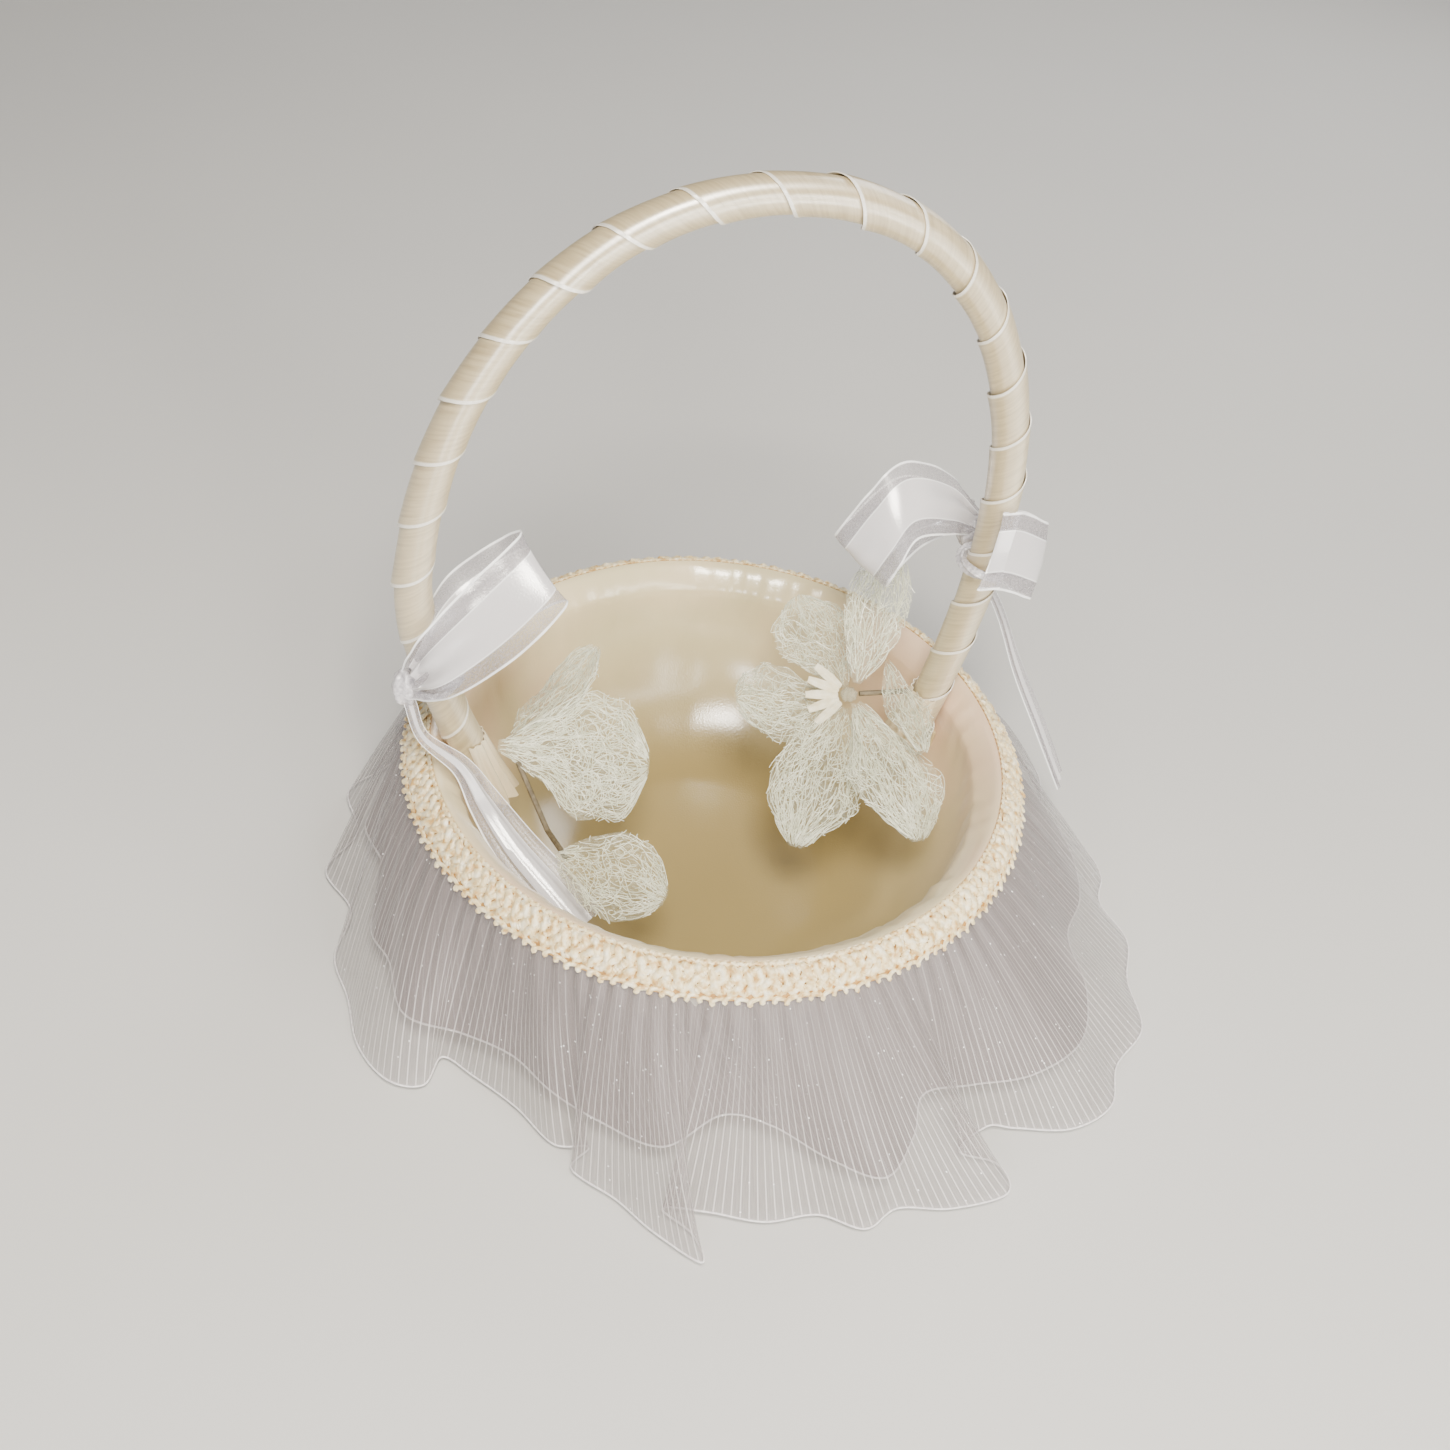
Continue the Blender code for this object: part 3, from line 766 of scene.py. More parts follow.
class Wardrobe:
    """Every finish of the basket, built once."""

    def __init__(self) -> None:
        """Builds the materials."""
        # A pearly champagne lining that mirrors the lamp softly, with painted shade that darkens its floor.
        pearl = Satin(
            "champagne_satin", "E9D6AC", "EACBAB", "DACCA1", roughness=0.21, bump=0.22, painted_floor_shade="A28F5C"
        )
        self.lining = pearl.build()
        # The same satin outside the bowl, under the skirt.
        self.cover = Satin("cover_satin", "E0CDA8", "DCC4A0", "D2C59C", roughness=0.34).build()
        # The ribbon's gathered ends, in the handle's ivory.
        self.cuff = Satin("pleated_ivory_satin", "EBDEBE", "E6D5B2", "E0D6B2", roughness=0.22).build()
        self.ribbon = WovenRibbon().build()
        self.organza = Organza().build()
        # The inner ruffle is of the same cloth, laid double, so that it reads as the denser layer.
        self.double_organza = Organza("doubled_organza", "867C7A", "A0969A", ground=0.80, line=0.82).build()
        self.bow = SheerRibbon().build()
        # The same ribbon pulled into a rope, where its sheer edges and satin middle are crushed together.
        rope = Plain("crushed_organza_ribbon", "E6E3E5", "A9A4AA", 1.1, 0.25, bump=0.6, level=0.8, coat=0.3)
        self.bow_rope = rope.build()
        self.gimp = Gimp().build()
        # The braid's cotton ground, coloured gold-brown as painted shade where it shows between the scrolls.
        self.gimp_painted_shade_ground = Plain("braid_painted_shade_ground", "C79A55", "9C7138", 0.9, 0.6, bump=0.6).build()
        self.web = FibreWeb().build()
        # Drawn nylon fibres: thin and a little glassy.
        self.fibre = Plain("nylon_fibre", "F0F0DC", "D9DAC0", 3.0, 0.3, bump=0.05, level=0.7).build()
        # The rolled and stitched edge of the organza catches the light as a fine line.
        self.hem = Plain("hem_thread", "F7F4F2", "DAD3D4", 1.2, 0.4).build()
        # Pressed grey board, dry and fibrous.
        self.board = Plain("pressed_grey_board", "8F8574", "6E6555", 1.5, 0.85).build()
        # Polyester wadding is white and matt.
        self.wadding = Plain("polyester_wadding", "EFEFEA", "D9D9D2", 4.0, 0.95, bump=0.8).build()
        # Woven cotton tape, matt.
        self.tape = Plain("cotton_tape", "E6E0D2", "CFC7B5", 0.8, 0.9, bump=0.5).build()
        # Injection moulded hoop.
        self.hoop = Plain("moulded_polypropylene", "D8CFBB", "CBC1AB", 8.0, 0.45, bump=0.1).build()
        # Set hot melt glue is amber and shiny.
        self.glue = Plain("hot_melt_glue", "DCCB9C", "C7B27E", 3.0, 0.25, bump=0.3, coat=0.4).build()
        # Florist wire in a dull green paper sleeve.
        self.wire = Plain("florist_wire", "7A6E55", "574B36", 1.5, 0.6).build()
        # Waxed cream flower paper.
        self.paper = Plain("cream_flower_paper", "F7EFD6", "E2D5AE", 2.5, 0.4, bump=0.2, coat=0.2).build()


# Bowl -------------------------------------------------------------------------------


@dataclass
class Bowl:
    """The satin-lined bowl, as turned sheets."""

    floor_radius: float = 0.0400
    wall_radius: float = 0.0845
    lip_radius: float = 0.0905
    rim_height: float = 0.0700
    flare: float = 0.0080
    floor_height: float = 0.0089
    lining_lift: float = 0.0004  # the lining's middle, inside the wadding
    cover_depth: float = 0.0057  # the cover's middle, outside the shell
    lip_fold: tuple[tuple[float, float], ...] = ((0.0004, -0.0001), (0.0014, 0.0009), (0.0024, 0.0019))
    lining_cut: float = 0.24  # circles that reach from the braid down across the floor and up again
    cover_cut: float = 0.25
    satin: float = 0.0003
    around: int = 240

    def profile(self, depth: float) -> list[tuple[float, float]]:
        """Radius and height from the axis to the lip, at a depth into the wall.

        Args:
            depth: The sheet's depth into the wall.

        Returns:
            Pairs of a radius and a height.
        """
        top = self.rim_height - self.flare
        fall = top - self.floor_height + depth
        points = [(self.floor_radius * share / 6, top - fall) for share in range(6)]
        reach = self.wall_radius - self.floor_radius + depth
        for turn in spread(math.pi / 2, 30):
            points.append((self.floor_radius + reach * math.sin(turn), top - fall * math.cos(turn)))
        widening = self.lip_radius - self.wall_radius
        for share in spread(1, 8)[1:]:
            radius = self.wall_radius + depth + widening * share**1.5
            points.append((radius, top + (self.flare - max(depth, 0)) * share))
        if depth < 0:  # the lining folds over the lip, in under the braid
            for out, down in self.lip_fold:
                points.append((self.lip_radius + out, self.rim_height - down))
        return points

    def crease(self, radius: float, height: float, turn: float) -> float:
        """How far the lining stands in from the wadding at a place.

        Args:
            radius: The place's radius.
            height: Its height.
            turn: Its angle in radians.

        Returns:
            The distance in metres.
        """
        spot = Vector((math.cos(turn), math.sin(turn), 0))
        up = min(1.0, max(0.0, (height - 0.040) / 0.022)) * min(1.0, max(0.0, (0.0702 - height) / 0.002))
        pucker = abs(noise.noise(spot * 12 + Vector((0, 0, height * 30)))) * 0.0013 * up
        fine = noise.noise(spot * 34 + Vector((0, 0, height * 70))) * 0.00030 * up
        wall = min(1.0, max(0.0, (radius - 0.030) / 0.020)) * min(1.0, max(0.0, (0.066 - height) / 0.010))
        soft = (0.5 + noise.noise(spot * 2.6 + Vector((0, 0, height * 26)))) * 0.0012 * wall
        floor = min(1.0, max(0.0, 1 - radius / 0.055))
        drawn = noise.noise(Vector((spot.x * radius * 55, spot.y * radius * 25, 3.0)))
        crease = max(0.0, drawn) * 0.0009 * (1 - floor)
        return max(0.0, pucker + fine + soft + crease * wall)

    def layer(
        self, name: str, depth: float, creased: bool, thickness: float, facing: Facing
    ) -> bpy.types.Object:
        """Turns a profile into a sheet.

        Args:
            name: The piece's name.
            depth: Its depth into the wall.
            creased: Whether it has the lining's creases.
            thickness: Its thickness.
            facing: Which way its faces look.

        Returns:
            The sheet.
        """
        profile = self.profile(depth)
        rows = []
        for radius, height in profile:
            row = []
            for column in range(self.around + 1):
                turn = math.tau * column / self.around
                inward = self.crease(radius, height, turn) if creased else 0.0
                reach = radius - inward
                row.append(Vector((reach * math.cos(turn), reach * math.sin(turn), height + inward * 0.4)))
            rows.append(row)
        around = spread(math.tau * self.wall_radius, self.around)
        down = [0.0]
        for (low, base), (high, top) in zip(profile, profile[1:]):
            down.append(down[-1] + math.hypot(high - low, top - base))
        return cloth(name, rows, around, down, thickness, facing)

    def build(self, wardrobe: Wardrobe) -> None:
        """Builds the lining and the cover, and dresses what lies between them.

        Args:
            wardrobe: The finishes.
        """
        lining = self.layer("lining_satin", -self.lining_lift, True, self.satin, Facing.AS_GIVEN)
        finish_piece(lining, wardrobe.lining, "champagne_satin", "bowl_lining")
        cover = self.layer("cover_satin", self.cover_depth, False, self.satin, Facing.TURNED)
        finish_piece(cover, wardrobe.cover, "champagne_satin", "bowl_cover")
        nodes = frame["nodes"]
        for node, material in (
            ("base_board", wardrobe.board),
            ("bowl_shell", wardrobe.board),
            ("bowl_padding", wardrobe.wadding),
            ("skirt_header_tape", wardrobe.tape),
        ):
            wear(nodes[node], material)


@dataclass
class RimBraid:
    """Half inch gimp braid: fat scrolls of cord that cross over a ground, and a row of loops at the edge."""

    bowl: Bowl
    width: float = 0.0127
    scrolls: int = 58
    scroll_reach: float = 0.0034
    scroll_radius: float = 0.00125
    edge_radius: float = 0.00068
    picots: int = 174
    yarn: float = 0.0010  # the yarn's turns, drawn this coarse so that they show
    ground_steps: int = 240
    inner_steps: int = 1500

    def place(self, turn: float, across: float, lift: float) -> Vector:
        """A point at a distance across the braid and a height above its underside.

        Args:
            turn: The angle round the rim in radians.
            across: The distance from its inner edge.
            lift: The height above its underside.

        Returns:
            The point.
        """
        slope = math.sqrt(0.5)
        radius = self.bowl.lip_radius + (across + lift) * slope
        height = self.bowl.rim_height + (lift - across) * slope
        return Vector((radius * math.cos(turn), radius * math.sin(turn), height))

    def scroll(self, phase: float) -> list[Vector]:
        """One cord that swings from edge to edge, over and under the others.

        Args:
            phase: Where its swing starts, in radians.

        Returns:
            Its points.
        """
        steps = self.scrolls * 32
        points = []
        for step in range(steps):
            turn = math.tau * step / steps
            swing = self.scrolls * turn + phase
            across = self.width * 0.47 + self.scroll_reach * math.sin(swing + 0.5 * math.sin(swing))
            points.append(self.place(turn, across, 0.0012 + 0.0005 * math.cos(swing * 2 + phase / 2)))
        return points

    def loops(self) -> list[Vector]:
        """One cord that loops along the outer edge.

        Returns:
            Its points.
        """
        steps = self.picots * 10
        points = []
        for step in range(steps):
            swing = math.tau * step / 10
            turn = math.tau * step / steps - 1.1 * math.sin(swing) * math.tau / self.picots / 4
            depth = self.width - 0.0010 + 0.0008 * math.cos(swing) + 0.0004 * math.cos(self.scrolls * turn)
            points.append(self.place(turn, depth, 0.0010 + 0.0003 * math.sin(swing)))
        return points

    def rope(self, name: str, points: list[Vector], radius: float, sides: int = 8) -> bpy.types.Object:
        """Sweeps a yarn-wound cord round the rim, flattened against the braid's ground.

        Args:
            name: The cord's name.
            points: Its closed line.
            radius: Its radius.
            sides: The number of its sides.

        Returns:
            The cord.
        """
        count = len(points)
        rows, travelled = [], 0.0
        for index, point in enumerate(points):
            ahead = points[(index + 1) % count] - points[index - 1]
            turn = math.atan2(point.y, point.x)
            out = Vector((math.cos(turn), math.sin(turn), 1.0)).normalized()
            along, side, face = square_axes(ahead, ahead.cross(out))
            travelled += ahead.length / 2
            wound = radius * (1 + 0.16 * math.sin(math.tau * travelled / self.yarn))
            row = []
            for corner in range(sides + 1):
                angle = math.tau * corner / sides
                row.append(point + side * (wound * math.cos(angle)) + face * (0.72 * wound * math.sin(angle)))
            rows.append(row)
        rows.append([spot.copy() for spot in rows[0]])
        return cloth(name, rows, list(range(sides + 1)), list(range(len(rows))), 0.0, Facing.TURNED)

    def build(self, wardrobe: Wardrobe) -> None:
        """Builds the ground, the scrolls and the edges as one braid.

        Args:
            wardrobe: The finishes.
        """
        turns = spread(math.tau, self.ground_steps)
        section = [(0.0006, 0.0002), (0.0006, 0.0008), (0.0116, 0.0008), (0.0116, 0.0002), (0.0006, 0.0002)]
        rows = [[self.place(turn, across, lift) for turn in turns] for across, lift in section]
        ground = cloth("rim_gimp_braid", rows, turns, [0, 1, 2, 3, 4], 0.0, Facing.TURNED)
        # The ground's gold-brown is painted shade in the gaps between the scrolls.
        wear(ground, wardrobe.gimp_painted_shade_ground)
        inner = []
        for step in range(self.inner_steps):
            across = 0.0011 + 0.00025 * math.sin(math.tau * step / 6)
            inner.append(self.place(math.tau * step / self.inner_steps, across, 0.0010))
        parts = []
        for part in range(3):
            line = self.scroll(math.tau * part / 3)
            parts.append(self.rope(f"scroll_{part}", line, self.scroll_radius))
        parts.append(self.rope("inner_edge", inner, self.edge_radius, 6))
        parts.append(self.rope("outer_edge", self.loops(), self.edge_radius, 6))
        bpy.ops.object.select_all(action="DESELECT")
        for part in parts:
            wear(part, wardrobe.gimp)
            part.select_set(True)
        ground.select_set(True)
        bpy.context.view_layer.objects.active = ground
        bpy.ops.object.join()
        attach(ground, "basket")
        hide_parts("rim_braid")
        log.info("%s: %d faces", ground.name, len(ground.data.polygons))


# Skirt ------------------------------------------------------------------------------


@dataclass
class Ruffle:
    """One gathered organza layer, from under the braid to its hem."""

    name: str
    node: str
    hem: list[tuple[float, float, float]]  # angle in degrees, radius and height in mm, along the cloth
    top_radius: float
    top_height: float
    cut: tuple[float, float]  # the strip's length and depth before it was gathered
    material: bpy.types.Material
    pleats: int = 96
    levels: int = 40
    stretch: int = 14  # columns between two points of the hem
    gather: float = 0.0008  # how far the gathers swing at the braid
    soft_fold: float = 0.0022  # how far the looser folds swing below it
    hem_radius: float = 0.00035

    def columns(self) -> tuple[list[Vector], list[float]]:
        """The hem's smooth line, and the angle in radians at the braid above each of its points.

        Returns:
            The points of the hem, and the angles.
        """
        corners = []
        for angle, radius, height in self.hem:
            turn = math.radians(angle)
            corners.append((radius * MM * math.cos(turn), radius * MM * math.sin(turn), height * MM))
        hem = between(corners, self.stretch, closed=True)
        angles = [math.radians(angle) for angle, _, _ in self.hem]
        count, reach = len(angles), 4
        unwound = []
        for index in range(-reach, count + reach + 1):
            unwound.append(angles[index % count] + math.tau * (index // count))
        calm = [sum(unwound[index : index + 2 * reach + 1]) / (2 * reach + 1) for index in range(count + 1)]
        tops = []
        for index in range(count):
            for step in range(self.stretch):
                tops.append(calm[index] + (calm[index + 1] - calm[index]) * step / self.stretch)
        return hem, tops

    def build(self, wardrobe: Wardrobe) -> None:
        """Builds the ruffle and its rolled hem.

        Args:
            wardrobe: The finishes.
        """
        hem, tops = self.columns()
        rows = []
        for level in range(self.levels + 1):
            share = level / self.levels
            row = []
            for spot, top in zip(hem, tops):
                away = (math.atan2(spot.y, spot.x) - top + math.pi) % math.tau - math.pi
                angle = top + away * share**1.1
                shiver = noise.noise(Vector((math.cos(top) * 4, math.sin(top) * 4, 1.5)))
                pleat = math.sin(self.pleats * top + 5 * shiver)
                gather = self.gather * pleat * (1 - share) ** 1.5
                gather += self.soft_fold * pleat * shiver * share * (1 - share)
                reach = math.hypot(spot.x, spot.y)
                radius = self.top_radius + (reach - self.top_radius) * share**0.88 + gather
                height = self.top_height + (spot.z - self.top_height) * share
                row.append(Vector((radius * math.cos(angle), radius * math.sin(angle), height)))
            row.append(row[0].copy())
            rows.append(row)
        edge = rows[-1]
        along = [0.0]
        for here, after in zip(edge, edge[1:]):
            along.append(along[-1] + (after - here).length)
        piece = cloth(self.name, rows, along, spread(self.cut[1], self.levels), 0.0, Facing.TURNED)
        finish_piece(piece, self.material, "organza", self.node)
        rolled = cords(f"{self.name}_hem", [edge[:-1]], self.hem_radius, True, 6)
        finish_piece(rolled, wardrobe.hem, "organza")
        log.info("%s: hem %.3f m", self.name, along[-1])


@dataclass
class Skirt:
    """Two organza ruffles, whose fuller side is at the front right."""

    # The front folds, as angle in degrees, radius and height in mm.
    # Where the angle runs back, the cloth is doubled.
    outer_front: tuple[tuple[float, float, float], ...] = (
        (-166, 126, 3), (-158, 131, 3), (-151, 131, 3), (-147, 124, 3), (-149, 113, 3), (-143, 111, 3),
        (-134, 112, 3), (-126, 118, 3), (-121, 115, 3), (-122, 124, 3), (-115, 130, 3), (-110, 138, 3),
        (-104, 147, 3), (-105, 138, 3), (-109, 131, 4), (-103, 131, 4), (-96, 134, 3), (-89, 134, 3),
        (-84, 142, 3), (-79, 139, 3), (-73, 146, 3), (-66, 151, 3), (-64, 142, 3), (-67, 132, 4),
        (-61, 131, 4), (-58, 137, 3), (-53, 150, 3), (-47, 156, 3), (-41, 152, 3), (-34, 156, 3),
        (-27, 149, 3), (-20, 149, 3), (-14, 141, 4), (-9, 144, 4),
    )
    inner_front: tuple[tuple[float, float, float], ...] = (
        (-166, 112, 14), (-156, 117, 13), (-147, 108, 14), (-138, 104, 14), (-129, 108, 13), (-120, 112, 13),
        (-110, 116, 13), (-101, 104, 14), (-93, 108, 13), (-86, 122, 12), (-80, 133, 12), (-73, 124, 12),
        (-68, 115, 15), (-60, 121, 13), (-52, 132, 12), (-43, 139, 12), (-34, 135, 12), (-25, 126, 13),
        (-16, 131, 13),
    )
    back_turn: tuple[float, float] = (-4, 186)  # from the right round behind to the left, in degrees

    def back(self, folds: int, radius: float, fold: float, height: float) -> list[tuple[float, float, float]]:
        """Even folds round the back, fuller at the right, where they also ride up.

        Args:
            folds: How many folds.
            radius: Their middle radius in mm.
            fold: How far they swing, in mm.
            height: Their height in mm.

        Returns:
            Points as an angle, a radius and a height.
        """
        first, last = self.back_turn
        points = []
        for step in range(2 * folds + 1):
            share = step / (2 * folds)
            full = math.cos(math.pi / 2 * share) ** 2
            reach = radius + 18 * full + fold * (-1) ** step
            raised = height + 4 * full * math.sin(math.pi * share)
            points.append((first + (last - first) * share, reach, raised))
        return points

    def build(self, wardrobe: Wardrobe) -> None:
        """Builds both ruffles.

        Args:
            wardrobe: The finishes.
        """
        outer = [*self.outer_front, *self.back(11, 121, 4, 3)]
        inner = [*self.inner_front, *self.back(8, 109, 4, 13)]
        single, double = wardrobe.organza, wardrobe.double_organza
        for ruffle in (
            Ruffle("outer_organza", "outer_ruffle", outer, 0.0978, 0.0622, (0.94, 0.072), single),
            Ruffle("inner_organza", "inner_ruffle", inner, 0.0962, 0.0630, (0.80, 0.062), double, pleats=84),
        ):
            ruffle.build(wardrobe)


# Handle -----------------------------------------------------------------------------


@dataclass
class Handle:
    """The moulded hoop, wound with satin ribbon that overlaps itself up one side and down the other."""

    rim_height: float = 0.0700
    half_width: float = 0.0902
    shoulder: float = 0.062
    top: float = 0.183
    power: float = 2.11
    lean: float = 0.038
    shift: tuple[float, float] = (-0.0078, 0.0128)
    foot_reach: float = 0.07288
    foot_depth: float = 0.024
    foot_bend: float = 0.003
    pitch: float = 0.0206
    ribbon_width: float = 0.022
    ribbon_thickness: float = 0.00022
    inside: float = 0.0052
    outside: float = 0.0059

    def hoop_point(self, turn: float) -> Vector:
        """A point above the shoulders, from turn 0 at the right to pi at the left.

        Args:
            turn: The place on the arch in radians.

        Returns:
            The point.
        """
        share = 2 / self.power
        across = math.copysign(abs(math.cos(turn)) ** share, math.cos(turn))
        rise = self.shoulder + (self.top - self.shoulder) * abs(math.sin(turn)) ** share
        along = self.shift[0] + self.half_width * across + self.lean * rise
        return Vector((along, self.shift[1], self.rim_height + rise))

    def leg(self, side: Side, steps: int = 24) -> list[Vector]:
        """Points from a foot up to its shoulder.

        Args:
            side: The foot.
            steps: How many stretches.

        Returns:
            The points.
        """
        sign = side.value
        foot = Vector((sign * self.foot_reach, self.shift[1], self.rim_height - self.foot_depth))
        shoulder = self.hoop_point(0 if side is Side.RIGHT else math.pi)
        low = Vector((foot.x + sign * self.foot_bend, foot.y, self.rim_height - self.foot_bend / 2))
        high = shoulder - Vector((0, 0, self.shoulder / 2))
        points = []
        for step in range(steps + 1):
            t = step / steps
            u = 1 - t
            points.append(foot * u**3 + low * (3 * u * u * t) + high * (3 * u * t * t) + shoulder * t**3)
        return points

    def path(self) -> list[Vector]:
        """The centreline from the left foot to the right foot."""
        arc = [self.hoop_point(math.pi * (1 - step / 120)) for step in range(1, 120)]
        return self.leg(Side.LEFT) + arc + self.leg(Side.RIGHT)[::-1]

    def leg_point(self, side: Side, above_rim: float) -> Vector:
        """The centreline of one leg at a height above the rim."""
        points = self.leg(side, 60)
        return min(points, key=lambda point: abs(point.z - self.rim_height - above_rim))

    @staticmethod
    def round_hoop(
        path: list[Vector], marks: list[float], distance: float, turn: float, radius: float
    ) -> Vector:
        """A point round the hoop's centreline.

        Args:
            path: The centreline.
            marks: The distance along it at each of its points.
            distance: The point's distance along it.
            turn: The point's angle round it, in radians.
            radius: The point's distance from it.

        Returns:
            The point.
        """
        distance = min(max(distance, 0.0), marks[-1])
        index = next((i for i in range(1, len(marks)) if marks[i] >= distance), len(marks) - 1)
        share = (distance - marks[index - 1]) / (marks[index] - marks[index - 1])
        spot = path[index - 1].lerp(path[index], share)
        along = (path[index] - path[index - 1]).normalized()
        forward = Vector((0, 1, 0))
        outer = along.cross(forward)
        return spot + (outer * math.cos(turn) - forward * math.sin(turn)) * radius

    def wind(self, wardrobe: Wardrobe) -> None:
        """Winds the ribbon, each turn's lower edge over the turn before.

        Args:
            wardrobe: The finishes.
        """
        path = self.path()
        travelled = [0.0]
        for here, after in zip(path, path[1:]):
            travelled.append(travelled[-1] + (after - here).length)
        circle = math.tau * (self.inside + self.outside) / 2
        advance = self.ribbon_width * math.hypot(circle, self.pitch) / circle
        turns = (travelled[-1] + advance * 0.5) / self.pitch
        per_turn, parts = 30, 10
        rows = []
        for step in range(int(turns * per_turn) + 1):
            turn = math.tau * step / per_turn
            start = self.pitch * step / per_turn - advance * 0.5
            row = []
            for part in range(parts + 1):
                share = part / parts
                lifted = self.outside + (self.inside - self.outside) * share**0.7
                wave = noise.noise(Vector((start * 70 + share, turn * 0.9, 0.5))) * 0.00022
                wave += max(0.0, noise.noise(Vector((turn * 0.35, 2.0, 0.5)))) * 0.0009 * (1 - share) ** 3
                row.append(self.round_hoop(path, travelled, start + advance * share, turn, lifted + wave))
            rows.append(row)
        total = math.hypot(circle, self.pitch) * (len(rows) - 1) / per_turn
        piece = strip("handle_ribbon", rows, total, self.ribbon_thickness, Facing.TURNED)
        finish_piece(piece, wardrobe.ribbon, "champagne_satin", "handle_wrap")

    def cuff(self, side: Side, wardrobe: Wardrobe) -> None:
        """Fans the gathered ribbon end out round the inner side of a foot.

        Args:
            side: The foot.
            wardrobe: The finishes.
        """
        points = [point for point in self.leg(side, 40) if point.z < self.rim_height + 0.001][::-1]
        facing = -math.pi / 2 * (side.value - 1)
        rows = []
        half, folds, steps = math.radians(84), 7, 56
        for index, point in enumerate(points):
            share = index / (len(points) - 1)
            row = []
            for step in range(steps + 1):
                place = step / steps * 2 - 1
                turn = facing + half * place * (1 + 0.12 * share)
                fold = 0.5 + 0.5 * math.cos(folds * math.pi * place + 0.6 * math.sin(5 * share))
                flared = 0.0030 * share**2 * math.cos(half * place)
                radius = self.outside + 0.0004 + fold * (0.0006 + 0.0017 * share) + flared
                across = Vector((-math.cos(turn), 0, 0)) - Vector((0, math.sin(turn), 0))
                row.append(point + across * radius)
            rows.append(row)
        word = side.name.lower()
        down = spread(self.foot_depth, len(points) - 1)
        piece = cloth(f"{word}_pleated_cuff", rows, spread(1, steps), down, 0.0003)
        finish_piece(piece, wardrobe.cuff, "champagne_satin", f"{word}_handle_cuff")

    def build(self, wardrobe: Wardrobe) -> None:
        """Builds the winding and the cuffs, and dresses the hoop and its glue.

        Args:
            wardrobe: The finishes.
        """
        self.wind(wardrobe)
        wear(frame["nodes"]["handle_core"], wardrobe.hoop)
        for side in Side:
            self.cuff(side, wardrobe)
            wear(frame["nodes"][f"{side.name.lower()}_glue_pad"], wardrobe.glue)


# Bows -------------------------------------------------------------------------------


@dataclass
class Loop:
    """One loop of a bow, through stations in mm: the ribbon's middle, and its reach to one selvage."""

    name: str
    node: str
    stations: list[tuple[tuple, tuple]]
    width: float = 0.025

    def build(self, wardrobe: Wardrobe) -> None:
        """Builds the loop from its knot, out to its tip and back.

        Args:
            wardrobe: The finishes.
        """
        middle = between([Vector(centre) * MM for centre, _ in self.stations], 12)
        reach = between([Vector(half) * MM for _, half in self.stations], 12)
        parts = 16
        rows = []
        for index, (centre, half) in enumerate(zip(middle, reach)):
            ahead = middle[min(index + 1, len(middle) - 1)] - middle[max(index - 1, 0)]
            face = ahead.cross(half).normalized()
            slack = max(0.0, 1 - half.length / (self.width / 2))
            row = []
            for part in range(parts + 1):
                place = part / parts * 2 - 1
                tuck = 0.0022 * math.cos(3 * math.pi * place) * slack
                cup = 0.0009 * (1 - place * place)
                cockle = 0.0003 * math.sin(index * 0.9) * abs(place) ** 6
                row.append(centre + half * place + face * (tuck + cup + cockle))
            rows.append(row)
        total = length_of(middle)
        piece = strip(self.name, rows, total)
        finish_piece(piece, wardrobe.bow, "organza_ribbon", self.node)


@dataclass
class Tail:
    """A ribbon's end, gathered in long soft folds."""

    name: str
    node: str
    points: list[Vector]
    widths: list[float]
    across: Vector
    body: str = "basket"
    folds: float = 0.0012
    ribbon: float = 0.018
    held: str = "hung"
    rests_on: tuple[str, ...] = ()

    def build(self, wardrobe: Wardrobe) -> None:
        """Builds the tail through its points.

        Args:
            wardrobe: The finishes.
        """
        line = between([tuple(point) for point in self.points], 8)
        wide = between([(width, 0.0) for width in self.widths], 8)
        across = self.across.normalized()
        parts = 14
        rows = []
        for index, (point, width) in enumerate(zip(line, wide)):
            ahead = line[min(index + 1, len(line) - 1)] - line[max(index - 1, 0)]
            _, side, face = square_axes(ahead, across)
            share = index / (len(line) - 1)
            row = []
            for part in range(parts + 1):
                place = part / parts * 2 - 1
                fold = self.folds * math.sin(2.5 * math.pi * place + 1.2 * share) * (0.4 + 0.6 * share)
                row.append(point + side * (width.x / 2 * place) + face * fold)
            rows.append(row)
        total = length_of(line)
        piece = strip(self.name, rows, total)
        finish_piece(piece, wardrobe.bow, "organza_ribbon", self.node, body=self.body)


def twisted_ring(name: str, centre: Vector, axis: Vector, major: float, minor: float) -> bpy.types.Object:
    """A ribbon pulled tight into a rope and closed round a leg.

    Args:
        name: The piece's name.
        centre: The ring's middle.
        axis: The direction of the leg that it holds.
        major: The ring's radius.
        minor: The rope's radius.

    Returns:
        The ring.
    """
    along, across, face = square_axes(axis, Vector((0, 1, 0)))
    steps, sides = 72, 20
    rows = []
    for step in range(steps + 1):
        turn = math.tau * step / steps
        out = across * math.cos(turn) + face * math.sin(turn)
        row = []
        for side in range(sides + 1):
            angle = math.tau * side / sides
            fold = 1 + 0.28 * math.cos(4 * angle + 5 * turn)
            radius = minor * fold
            row.append(centre + out * (major + radius * math.cos(angle)) + along * (radius * math.sin(angle)))
        rows.append(row)
    return cloth(name, rows, spread(0.012, sides), spread(0.05, steps), 0.0, Facing.TURNED)


